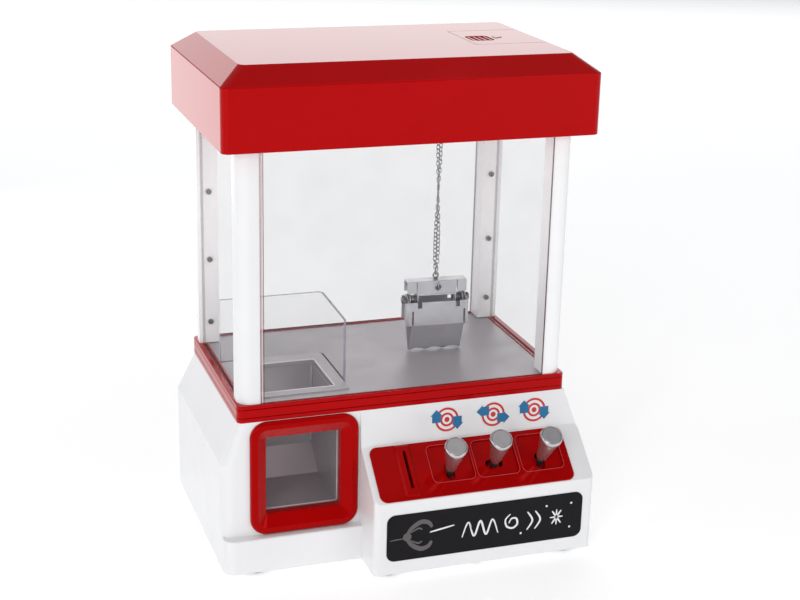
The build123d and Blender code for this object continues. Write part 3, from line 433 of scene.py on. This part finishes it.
def smooth_path(points, steps=8):
    """Catmull-Rom curve through points in the plane or in space."""
    points = [Vector(p) for p in points]
    padded = [points[0]] + points + [points[-1]]
    path = []
    for a, b, c, d in zip(padded, padded[1:], padded[2:], padded[3:]):
        for k in range(steps):
            t = k / steps
            path.append(0.5 * (2 * b + t * (c - a) + t * t * (2 * a - 5 * b + 4 * c - d)
                               + t ** 3 * (3 * b - a - 3 * c + d)))
    return path + [points[-1]]


def brush(points, width, taper=0.45):
    """Outline of a brush stroke: thick in the middle, thinner and blunt at its ends."""
    path = smooth_path(points)
    last = len(path) - 1
    left, right = [], []
    for i, p in enumerate(path):
        along = (path[min(i + 1, last)] - path[max(i - 1, 0)]).normalized()
        half = width / 2 * (taper + (1 - taper) * sin(pi * i / last) ** 0.6)
        across = Vector((-along.y, along.x)) * half
        left.append(p + across)
        right.append(p - across)
    return left + right[::-1]


def arc(cx, cy, r, start, end, steps=6):
    """Points on an arc, in degrees."""
    angles = [radians(start + (end - start) * k / steps) for k in range(steps + 1)]
    return [(cx + r * cos(a), cy + r * sin(a)) for a in angles]


def rounded_box(x0, x1, y0, y1, r):
    """Outline of a rectangle with round corners, anticlockwise from its right side."""
    corners = ((x1 - r, y1 - r, 0), (x0 + r, y1 - r, 90), (x0 + r, y0 + r, 180), (x1 - r, y0 + r, 270))
    return [p for cx, cy, start in corners for p in arc(cx, cy, r, start, start + 90)]


# ---- chain -----------------------------------------------------------------------------------
CHAIN_X, CHAIN_Y = 46.5, 1.0
CHAIN_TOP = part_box("lift_chain")[1].z / MM
CHAIN_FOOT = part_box("claw_eye")[1].z / MM - 2.2
CHAIN_SPAN = CHAIN_TOP - CHAIN_FOOT
CHAIN_PITCH = 3.0
CHAIN_TWIST = 150.0                               # height in which the strands turn once
TWIST_START = -0.33                               # angle of the first strand where z is CROSS_UP
CROSS_UP = 25
SPREAD = 1.15                                     # a strand's greatest distance from the middle
SPREAD_AT_FOOT = 0.2                              # of SPREAD, growing over FLARE to all of it
FLARE = 12
SPREAD_LOST = 0.3                                 # of SPREAD, by the top
LINK_SIZE = (3.9, 2.1, 0.31)                      # length, width and radius of wire
LINK_STEPS = 12
LINK_ROLL = radians(25)


def link(bm, centre, along, side, length, width, wire):
    """One oval chain link in the plane of `along` and `side`."""
    path = []
    straight = (length - width) / 2
    for k in range(LINK_STEPS):
        a = 2 * pi * (k + 0.5) / LINK_STEPS
        shift = straight if sin(a) > 0 else -straight
        path.append(centre + MM * (along * (shift + width / 2 * sin(a)) + side * (width / 2 * cos(a))))
    tube(bm, path, wire * MM, sides=6, closed=True)


def lift_chain():
    """Two fine chains twisted round each other from the drum to the claw's eye."""
    bm = bmesh.new()
    count = int(CHAIN_SPAN / CHAIN_PITCH)
    for strand in (0, 1):
        for i in range(count):
            z = CHAIN_FOOT + (i + 0.5 + 0.5 * strand) * CHAIN_SPAN / (count + 0.5)
            rise = z - CHAIN_FOOT
            flare = min(1, SPREAD_AT_FOOT + rise / FLARE)
            apart = SPREAD * flare * (1 - SPREAD_LOST * rise / CHAIN_SPAN)
            a = 2 * pi * (rise - CROSS_UP) / CHAIN_TWIST + TWIST_START + pi * strand
            out = Vector((cos(a), sin(a), 0))
            around = Vector((-sin(a), cos(a), 0))
            along = (Vector((0, 0, 1)) + around * (2 * pi * apart / CHAIN_TWIST)).normalized()
            roll = LINK_ROLL if i % 2 else -LINK_ROLL
            side = cos(roll) * out + sin(roll) * along.cross(out)
            centre = at(CHAIN_X, CHAIN_Y, z) + apart * MM * out
            link(bm, centre, along, side, *LINK_SIZE)
    chain = add_piece("twisted_chain", bm, "trolley", CHAIN, ["lift_chain"])
    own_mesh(chain)


EYE_RING_RADIUS, EYE_RING_WIRE, EYE_RING_GAP = 1.4, 0.25, 0.5
EYE_RING_STEPS = 28


def eye_ring():
    """Split ring that joins the chain's last link to the swivel eye."""
    bm = bmesh.new()
    eye_low, eye_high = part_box("claw_eye")
    middle = (eye_low + eye_high) / 2
    centre = Vector((middle.x, middle.y, eye_high.z - 0.4 * MM))
    for turn in (0, 1):
        path = []
        for k in range(EYE_RING_STEPS):
            a = 2 * pi * k / EYE_RING_STEPS
            round_it = (EYE_RING_RADIUS * cos(a), EYE_RING_RADIUS * sin(a))
            path.append(centre + MM * Vector((EYE_RING_GAP * (turn - 0.5), *round_it)))
        tube(bm, path, EYE_RING_WIRE * MM, closed=True)
    add_piece("eye_ring", bm, "chain_end", CHAIN)


# ---- claw details ----------------------------------------------------------------------------
YOKE_LOW, YOKE_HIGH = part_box("claw_yoke")
YOKE_EDGE_UP = 9.1                                # lower edge of its flanges above the arms' ends
PIVOT = Vector(JOINTS["jaw_front_open"]["pos_m"])
PIN_LINE = Vector(JOINTS["jaw_front_open"]["axis"]).normalized()
COIL_FROM, COIL_LENGTH, COIL_RADIUS, COIL_WIRE = 15.8, 3.1, 3.1, 0.33
COIL_STEPS, COIL_STEPS_A_TURN, COIL_START = 54, 12, 2.4
ROLL_Y, ROLL_RADIUS = 4.35, 0.85
ROLL_X = (-13.4, -13.0, 0, 13.0, 13.4)
HOOK_STEPS, HOOK_GAP_STEPS = 20, 2
HOOK_RADIUS, HOOK_HEIGHT, HOOK_SKEW, HOOK_WIRE = 2.3, 2.7, 0.5, 0.42
HOOK_PLACE = (0.8, -4.9, -4.1)                    # its middle, up from the yoke's top
DOME_X = 24.75
DOME = [(0, 0), (3.0, 0), (2.8, 0.45), (2.2, 0.85), (1.2, 1.08), (0, 1.15)]


def claw_point(x, y, z):
    """A point in millimetres from the claw's pivot: along its pins, towards its back, and up."""
    back = Vector((0, 0, 1)).cross(-PIN_LINE)
    return PIVOT + MM * (-PIN_LINE * x + back * y + Vector((0, 0, z)))


def pivot_springs():
    """Torsion spring round each pivot pin, with one leg on the front jaw and one on the yoke."""
    bm = bmesh.new()
    for s in (-1, 1):
        path = [claw_point(s * 15.7, -7.4, -4.6), claw_point(s * 15.7, -5.2, -3.2)]
        for k in range(COIL_STEPS + 1):
            a = 2 * pi * k / COIL_STEPS_A_TURN - COIL_START
            x = s * (COIL_FROM + COIL_LENGTH * k / COIL_STEPS)
            path.append(claw_point(x, COIL_RADIUS * cos(a), COIL_RADIUS * sin(a)))
        path.append(claw_point(s * 18.9, 4.6, 3.6))
        tube(bm, path, COIL_WIRE * MM)
    add_piece("pivot_springs", bm, "claw", CHAIN)


def yoke_rolls():
    """Rolled lower edges of the yoke's two flanges, lighter than the plating: a painted highlight."""
    bm = bmesh.new()
    low = (YOKE_LOW.z - PIVOT.z) / MM + YOKE_EDGE_UP
    for y in (-ROLL_Y, ROLL_Y):
        tube(bm, [claw_point(x, y, low) for x in ROLL_X], ROLL_RADIUS * MM, sides=12)
    add_piece("yoke_rolls", bm, "claw", ROLL_HIGHLIGHT)


def hook_link():
    """Open hook that passes through the yoke's hole."""
    x, y, up = HOOK_PLACE
    z = (YOKE_HIGH.z - PIVOT.z) / MM + up
    turn = [2 * pi * k / HOOK_STEPS for k in range(HOOK_STEPS - HOOK_GAP_STEPS)]
    path = [claw_point(x + HOOK_SKEW * sin(a), y + HOOK_RADIUS * sin(a), z + HOOK_HEIGHT * cos(a))
            for a in turn]
    bm = bmesh.new()
    tube(bm, path, HOOK_WIRE * MM)
    add_piece("hook_link", bm, "claw", CHAIN)


def screw_domes():
    """Domed heads on the outer ends of the pivot pins."""
    bm = bmesh.new()
    for s in (-1, 1):
        head = claw_point(s * DOME_X, 0, 0)
        turn = (PIN_LINE * -s).to_track_quat("Z", "Y").to_matrix().to_4x4()
        lathe(bm, DOME, Matrix.Translation(head) @ turn @ Matrix.Scale(MM, 4), 40)
    add_piece("screw_domes", bm, "claw", SCREW)


# ---- prize hole and clear sheets -------------------------------------------------------------
GUARD_BEND = 4.5
GUARD_DROP = 2.0                                  # the side sheet is lower at its front corner
SHEET = 1.8
FACE_GAP, LINE_DEPTH = 0.03, 0.12                 # the edge lines stand this far off the sheet
LINE_FOOT, LINE_HEAD = 3, 1                       # and stop this far inside its ends
HOLE = (-98.0, -45.5, -52.0, 2.0)                 # left, right, front and back of the lip
DOOR = (-99.3, -47.4, 43.5, 99.5)                 # left, right, foot and top of the door's edge
DOOR_EDGE_Y = -65.0
CORNER = 1.5


def guard():
    """Clear sheet bent round two sides of the prize hole, with the bend's real radius."""
    low, high = [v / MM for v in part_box("chute_guard")]
    x0, y0, y1, x1 = low.x, low.y, high.y, high.x
    bend = arc(x1 - GUARD_BEND, y1 - GUARD_BEND, GUARD_BEND, 0, 90)
    inner = arc(x1 - GUARD_BEND, y1 - GUARD_BEND, GUARD_BEND - SHEET, 0, 90)
    outside = [(x1, y0)] + bend + [(x0, y1)]
    inside = [(x1 - SHEET, y0)] + inner + [(x0, y1 - SHEET)]
    bm = bmesh.new()
    walls = []
    for line in (outside, inside):
        tops = [high.z - GUARD_DROP * (y1 - y) / (y1 - y0) for _, y in line]
        foot = [bm.verts.new(MM * Vector((x, y, low.z))) for x, y in line]
        head = [bm.verts.new(MM * Vector((x, y, z))) for (x, y), z in zip(line, tops)]
        walls.append((foot, head))
    (foot_out, head_out), (foot_in, head_in) = walls
    for i in range(len(outside) - 1):
        bm.faces.new([foot_out[i], foot_out[i + 1], head_out[i + 1], head_out[i]])
        bm.faces.new([foot_in[i], head_in[i], head_in[i + 1], foot_in[i + 1]])
        bm.faces.new([head_out[i], head_out[i + 1], head_in[i + 1], head_in[i]])
        bm.faces.new([foot_out[i], foot_in[i], foot_in[i + 1], foot_out[i + 1]])
    for i in (0, -1):
        cut = bm.faces.new([foot_out[i], head_out[i], head_in[i], foot_in[i]])
        cut.material_index = 1
    add_piece("bent_guard", bm, "cabinet", GUARD, ["chute_guard"], CUT_EDGE)


def sheet_edges():
    """Painted reflections: bright and dark lines standing for the front sheet's cut edges, seen
    through its face.
    """
    low, high = [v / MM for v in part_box("window_front")]
    face = upright_frame((0, (low.y - FACE_GAP) * MM, 0), (0, -1, 0))
    foot, head = low.z + LINE_FOOT, high.z - LINE_HEAD
    glow = [(low.x + 0.1, low.x + 1.1)]
    lines = [(low.x + 1.5, low.x + 1.95), (high.x - 0.5, high.x - 0.05)]
    for name, material, spans in (("sheet_edge_painted_bright", EDGE_PAINTED_BRIGHT, glow),
                                  ("sheet_edge_lines", EDGE_PAINTED_DARK, lines)):
        bm = bmesh.new()
        for x0, x1 in spans:
            prism(bm, [(x0, foot), (x1, foot), (x1, head), (x0, head)], face, 0, LINE_DEPTH)
        add_piece(name, bm, "cabinet", material)


def hole_lip():
    """Rolled edge where the deck turns down into the prize chute, painted near white as a painted
    highlight.
    """
    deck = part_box("deck_tray")[1].z / MM
    bm = bmesh.new()
    path = [at(x, y, deck - 0.15) for x, y in rounded_box(*HOLE, CORNER)]
    tube(bm, path, 0.5 * MM, sides=10, closed=True)
    add_piece("hole_lip", bm, "cabinet", LIP_HIGHLIGHT)


def pocket_trim():
    """Seam up the chute's corner and the rolled edge inside the prize door, both lighter than the
    chute as painted highlights.
    """
    bm = bmesh.new()
    seam = [at(-47.6, 1.4, 62), at(-47.6, 1.4, 90), at(-47.4, 1.5, 120)]
    tube(bm, smooth_path(seam), 0.6 * MM, sides=10)
    path = [at(x, DOOR_EDGE_Y, z) for x, z in rounded_box(*DOOR, CORNER)]
    tube(bm, path, 0.35 * MM, sides=10, closed=True)
    add_piece("pocket_trim", bm, "cabinet", TRIM_HIGHLIGHT)


# ---- levers ----------------------------------------------------------------------------------
SLOPE_ANGLE = radians(40.5)
SLOPE_NORMAL = (0, -sin(SLOPE_ANGLE), cos(SLOPE_ANGLE))
LEVER_LEAN = (-5.5, -5.5, -1.0)                   # degrees to the side, at rest
LEVER_BACK = 6.0                                  # degrees back from the slope's normal
KNOB_START = 16.4
KNOB_LENGTH = 29.0
WASHER_UP = 7.8                                   # above the lever's pivot
WASHER = [(2.5, -0.3), (4.5, -0.3), (4.7, 0), (4.5, 0.3), (2.5, 0.3)]
POCKET_X = (27.8, 61.1, 94.9)
POCKET_U = 24.9                                   # the pockets' middle, up the slope
POCKET_HALF = (15.75, 14.25)
POCKET_CORNER = 4.0
CREASE_Y, CREASE_Z = -109, 57                     # where the slope starts
PLATE_UP = 1.2                                    # face of the lever plate above the slope


def lever_place(i):
    """Millimetre frame at a lever's pivot with Z along its stem at rest."""
    pivot = Vector(JOINTS[f"lever_{i + 1}_tilt"]["pos_m"])
    back = Matrix.Rotation(radians(-LEVER_BACK), 4, "X")
    lean = Matrix.Rotation(radians(LEVER_LEAN[i]), 4, "Y")
    return upright_frame(pivot, SLOPE_NORMAL) @ back @ lean


def grips():
    """Tapered metallised grips, each with a rolled rim and a turned cap let into its top."""
    top = KNOB_LENGTH
    shell = [
        (2.5, 6.9), (2.5, 0.5), (2.8, 0.1), (3.3, 0.0), (3.65, 0.25), (3.85, 0.9), (5.6, 12.6),
        (7.35, top - 5.0), (7.42, top - 4.4), (7.6, top - 4.0), (7.85, top - 3.8),
        (8.0, top - 3.4), (8.0, top - 1.5), (7.9, top - 0.9), (7.62, top - 0.35),
        (7.2, top - 0.05), (6.95, top - 0.1), (6.85, top - 0.35), (6.85, top - 0.8),
        (0, top - 0.8), (0, 6.9),
    ]
    cap = [(0, top - 0.7), (6.7, top - 0.7), (6.7, top - 0.3), (6.5, top - 0.12),
           (6.1, top - 0.1), (3.0, top - 0.22), (0, top - 0.26)]
    for i in range(3):
        place = lever_place(i) @ Matrix.Translation((0, 0, KNOB_START))
        body = f"lever_{i + 1}"
        bm = bmesh.new()
        lathe(bm, shell, place)
        add_piece(f"lever_grip_{i + 1}", bm, body, GRIP, [f"lever_knob_{i + 1}"])
        bm = bmesh.new()
        lathe(bm, cap, place)
        add_piece(f"grip_cap_{i + 1}", bm, body, CAP)


def dust_washers():
    """Loose washers round the stems that close the slots from below."""
    for i in range(3):
        bm = bmesh.new()
        place = lever_place(i) @ Matrix.Translation((0, 0, WASHER_UP))
        lathe(bm, WASHER, place, 40, closed=True)
        add_piece(f"dust_washer_{i + 1}", bm, f"lever_{i + 1}", BEZEL_RED)


def pocket_rims():
    """Rounded edges of the three pockets in the lever plate, in a lighter red: a painted highlight."""
    slope = upright_frame(at(0, CREASE_Y, CREASE_Z), SLOPE_NORMAL)
    half_x, half_u = POCKET_HALF
    r = POCKET_CORNER
    dx, du = half_x - r, half_u - r
    bm = bmesh.new()
    for x in POCKET_X:
        path = []
        for sx, su, start in ((1, 1, 0), (-1, 1, 90), (-1, -1, 180), (1, -1, 270)):
            corner = arc(x + sx * dx, POCKET_U + su * du, r, start, start + 90)
            path += [slope @ Vector((px, pu, PLATE_UP - 0.1)) for px, pu in corner]
        tube(bm, path, 0.26 * MM, closed=True)
    add_piece("pocket_rims", bm, "cabinet", RIM_HIGHLIGHT_RED)


# ---- printed film ----------------------------------------------------------------------------
DECAL_X = (30.1, 65.0, 96.5)
DECAL_TOP = 0.23                                  # the sticker's own thickness with its gap
INK = 0.05
ARROW = [(0, 4.8), (4.5, 0.2), (3.3, 0.2), (3.3, -4.7), (-3.3, -4.7), (-3.3, 0.2), (-4.5, 0.2)]
ARROW_X, ARROW_Y = 7.8, 3.0
ARROW_TURNS = ((0, 180), (90, -90), (0, 180))     # each pair's left and right arrow, in degrees
RINGS = ((7.2, 8.8), (3.5, 5.1), (0, 1.9))
STROKES = [
    ([(-42, 1.5), (-34, 2.8), (-24, 4.5)], 1.3),
    ([(-18, -6), (-13.5, 5), (-9, -6), (-4.5, 5), (0, -6), (4.5, 5), (9, -6)], 1.5),
    ([(17, 0), (19, 3.4), (22.6, 3), (23.4, -1.4), (20, -4), (15.6, -2.2), (14.4, 3), (18, 7)], 1.5),
    ([(31, -7), (35, 0), (31, 7)], 1.4), ([(37, -7), (41, 0), (37, 7)], 1.4),
    ([(50, -5), (57, 5)], 1.4), ([(57, -5), (50, 5)], 1.4), ([(48.5, 0), (58.5, 0)], 1.2),
    ([(53.5, -6), (53.5, 6)], 1.2),
]
DOTS = ((64, -9), (64.5, 9.5), (26.5, -9), (45.5, 9.5))
DOT_RADIUS = 0.8
HUB_X, HUB_RADIUS, HUB_RING = -58.5, 3.1, (1.0, 1.7)
# Heights over the film. Inks that cross each other print at different heights.
FIRST, MARK_TOP, ARM_TOP, JOINT_FROM, RING_FROM, LAST = 0.01, 0.06, 0.05, 0.06, 0.07, 0.09


def ring(inner, outer, low, high):
    """Profile for lathe() of a flat ring, or of a disc where there is no inner radius."""
    if inner:
        return [(inner, low), (outer, low), (outer, high), (inner, high)]
    return [(0, low), (outer, low), (outer, high), (0, high)]


def face_of_decals():
    """Frame on the upright face over the levers, at the middle of the stickers."""
    low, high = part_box("target_decals")
    rise, run = high.z - low.z, high.y - low.y
    normal = (0, -rise, run - DECAL_TOP * MM)
    middle = (low + high) / 2
    return upright_frame(Vector((0, middle.y, middle.z)), normal)


def target_prints():
    """Red rings and a pair of blue arrows on each sticker."""
    face = face_of_decals()
    low, high = DECAL_TOP / 2 + 0.01, DECAL_TOP / 2 + INK
    for i, (x, turns) in enumerate(zip(DECAL_X, ARROW_TURNS)):
        place = face @ Matrix.Translation((x, 0, 0))
        bm = bmesh.new()
        for inner, outer in RINGS:
            lathe(bm, ring(inner, outer, low, high), place, 48, closed=inner > 0)
        add_piece(f"target_rings_{i + 1}", bm, "cabinet", RED_INK)
        bm = bmesh.new()
        for s, turn in zip((-1, 1), turns):
            spot = Matrix.Translation((s * ARROW_X, -s * ARROW_Y, 0))
            pose = place @ spot @ Matrix.Rotation(radians(turn), 4, "Z")
            prism(bm, ARROW, pose, high, high + INK)
        add_piece(f"target_arrows_{i + 1}", bm, "cabinet", BLUE_INK)


def label_prints():
    """A plain grabber and some brush marks on the dark sheet, none of them a letter."""
    low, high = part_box("console_label")
    middle = Vector(((low.x + high.x) / 2, low.y, (low.z + high.z) / 2))
    face = upright_frame(middle, (0, -1, 0))
    bm = bmesh.new()
    for points, width in STROKES:
        prism(bm, brush(points, width), face, FIRST, MARK_TOP)
    for x, y in DOTS:
        lathe(bm, ring(0, DOT_RADIUS, FIRST, MARK_TOP), face @ Matrix.Translation((x, y, 0)), 24)
    add_piece("label_brush_marks", bm, "cabinet", WHITE_INK)

    bm = bmesh.new()
    prism(bm, brush([(-71, -1.5), (-66, -1), (-61, -1)], 0.9), face, FIRST, ARM_TOP)
    for s in (-1, 1):
        finger = [(-59, 1.2 * s), (-55, 6.5 * s), (-48.5, 10.2 * s), (-43, 9 * s), (-40.5, 5.2 * s)]
        prism(bm, brush(finger, 3.4, 0.4), face, FIRST, ARM_TOP)
        crease = [(-56, 3 * s), (-50.5, 5.6 * s), (-47.5, 4.4 * s)]
        prism(bm, brush(crease, 1.3), face, JOINT_FROM, LAST)
    hub = face @ Matrix.Translation((HUB_X, 0, 0))
    lathe(bm, ring(0, HUB_RADIUS, FIRST, MARK_TOP), hub, 32)
    lathe(bm, ring(*HUB_RING, RING_FROM, LAST), hub, 32, closed=True)
    add_piece("label_grabber", bm, "cabinet", GREY_INK)


lift_chain()
eye_ring()
pivot_springs()
yoke_rolls()
hook_link()
screw_domes()
guard()
sheet_edges()
hole_lip()
pocket_trim()
grips()
dust_washers()
pocket_rims()
target_prints()
label_prints()


# ---- camera, floor and lights ----------------------------------------------------------------
YAW, PITCH, ROLL = radians(19.15), radians(18.589), radians(1.344)
LENS_MM, SENSOR_MM = 70.8, 36
CAMERA_AT = (-337.49, -1026.59, 530.05)
FAR_CLIP = 60                                     # metres, past the floor's far edge
FLOOR_HALF = 8.0
FLOOR_GLOW = 0.4
WORLD_COLOUR, WORLD_STRENGTH = (0.96, 0.98, 1, 1), 0.36


def add_camera():
    data = bpy.data.cameras.new("camera")
    data.lens = LENS_MM
    data.sensor_width = SENSOR_MM
    data.clip_end = FAR_CLIP
    cam = bpy.data.objects.new("camera", data)
    forward = Vector((sin(YAW) * cos(PITCH), cos(YAW) * cos(PITCH), -sin(PITCH)))
    right = Vector((cos(YAW), -sin(YAW), 0))
    up = right.cross(forward)
    x = cos(ROLL) * right + sin(ROLL) * up
    y = -sin(ROLL) * right + cos(ROLL) * up
    cam.matrix_world = Matrix((x, y, -forward)).transposed().to_4x4()
    cam.location = at(*CAMERA_AT)
    bpy.context.collection.objects.link(cam)
    bpy.context.scene.camera = cam


def add_floor():
    """Pale floor that glows a little, so it reads as white as a studio sweep."""
    mesh = bpy.data.meshes.new("floor")
    h = FLOOR_HALF
    mesh.from_pydata([(-h, -h, 0), (h, -h, 0), (h, h, 0), (-h, h, 0)], [], [(0, 1, 2, 3)])
    floor = bpy.data.objects.new("floor", mesh)
    bpy.context.collection.objects.link(floor)
    look = Look("pale_floor", (0.88, 0.88, 0.885), 0.6)
    look.mottle(look.noise(3), (0.87, 0.87, 0.875), (0.89, 0.89, 0.895))
    look.shader.inputs["Emission Color"].default_value = (1, 1, 1, 1)
    look.shader.inputs["Emission Strength"].default_value = FLOOR_GLOW
    mesh.materials.append(look.mat)


def softbox(name, place, aim, width, height, radiance):
    """Rectangular lamp facing `aim`, not itself in view."""
    data = bpy.data.lights.new(name, "AREA")
    data.shape = "RECTANGLE"
    data.size, data.size_y = width, height
    data.energy = radiance * pi * width * height
    lamp = bpy.data.objects.new(name, data)
    lamp.location = place
    lamp.rotation_euler = (Vector(aim) - Vector(place)).to_track_quat("-Z", "Y").to_euler()
    lamp.visible_camera = False
    bpy.context.collection.objects.link(lamp)


def add_lights():
    world = bpy.data.worlds.new("studio")
    world.use_nodes = True
    background = world.node_tree.nodes["Background"]
    background.inputs["Color"].default_value = WORLD_COLOUR
    background.inputs["Strength"].default_value = WORLD_STRENGTH
    bpy.context.scene.world = world
    softbox("back_softbox", (0.9, 2.6, 1.1), (0, 0, 0.3), 3.4, 1.3, 1.32)
    softbox("left_softbox", (-0.62, 0.75, 0.12), (-0.1, 0.0, 0.2), 0.9, 0.4, 0.75)
    softbox("left_fill", (-2.2, -0.2, 0.8), (0, 0, 0.2), 1.4, 1.2, 1.5)
    softbox("overhead", (0.1, -0.5, 2.2), (0, -0.1, 0.2), 1.6, 0.8, 0.7)
    softbox("gloss_strip", (-1.2, -1.5, 1.6), (0, 0, 0.1), 0.14, 1.3, 6.0)
    softbox("chamber_fill", (-0.005, -0.005, 0.2975), (-0.005, -0.004, 0.1), 0.17, 0.1, 1.1)
    softbox("front_left_softbox", (-1.3, -2.0, 0.85), (0, 0, 0.15), 1.3, 0.9, 3.9)
    softbox("front_right_softbox", (1.5, -2.0, 0.85), (0, 0, 0.15), 1.3, 0.9, 2.9)


add_camera()
add_floor()
add_lights()
bpy.context.scene.view_settings.view_transform = "Standard"
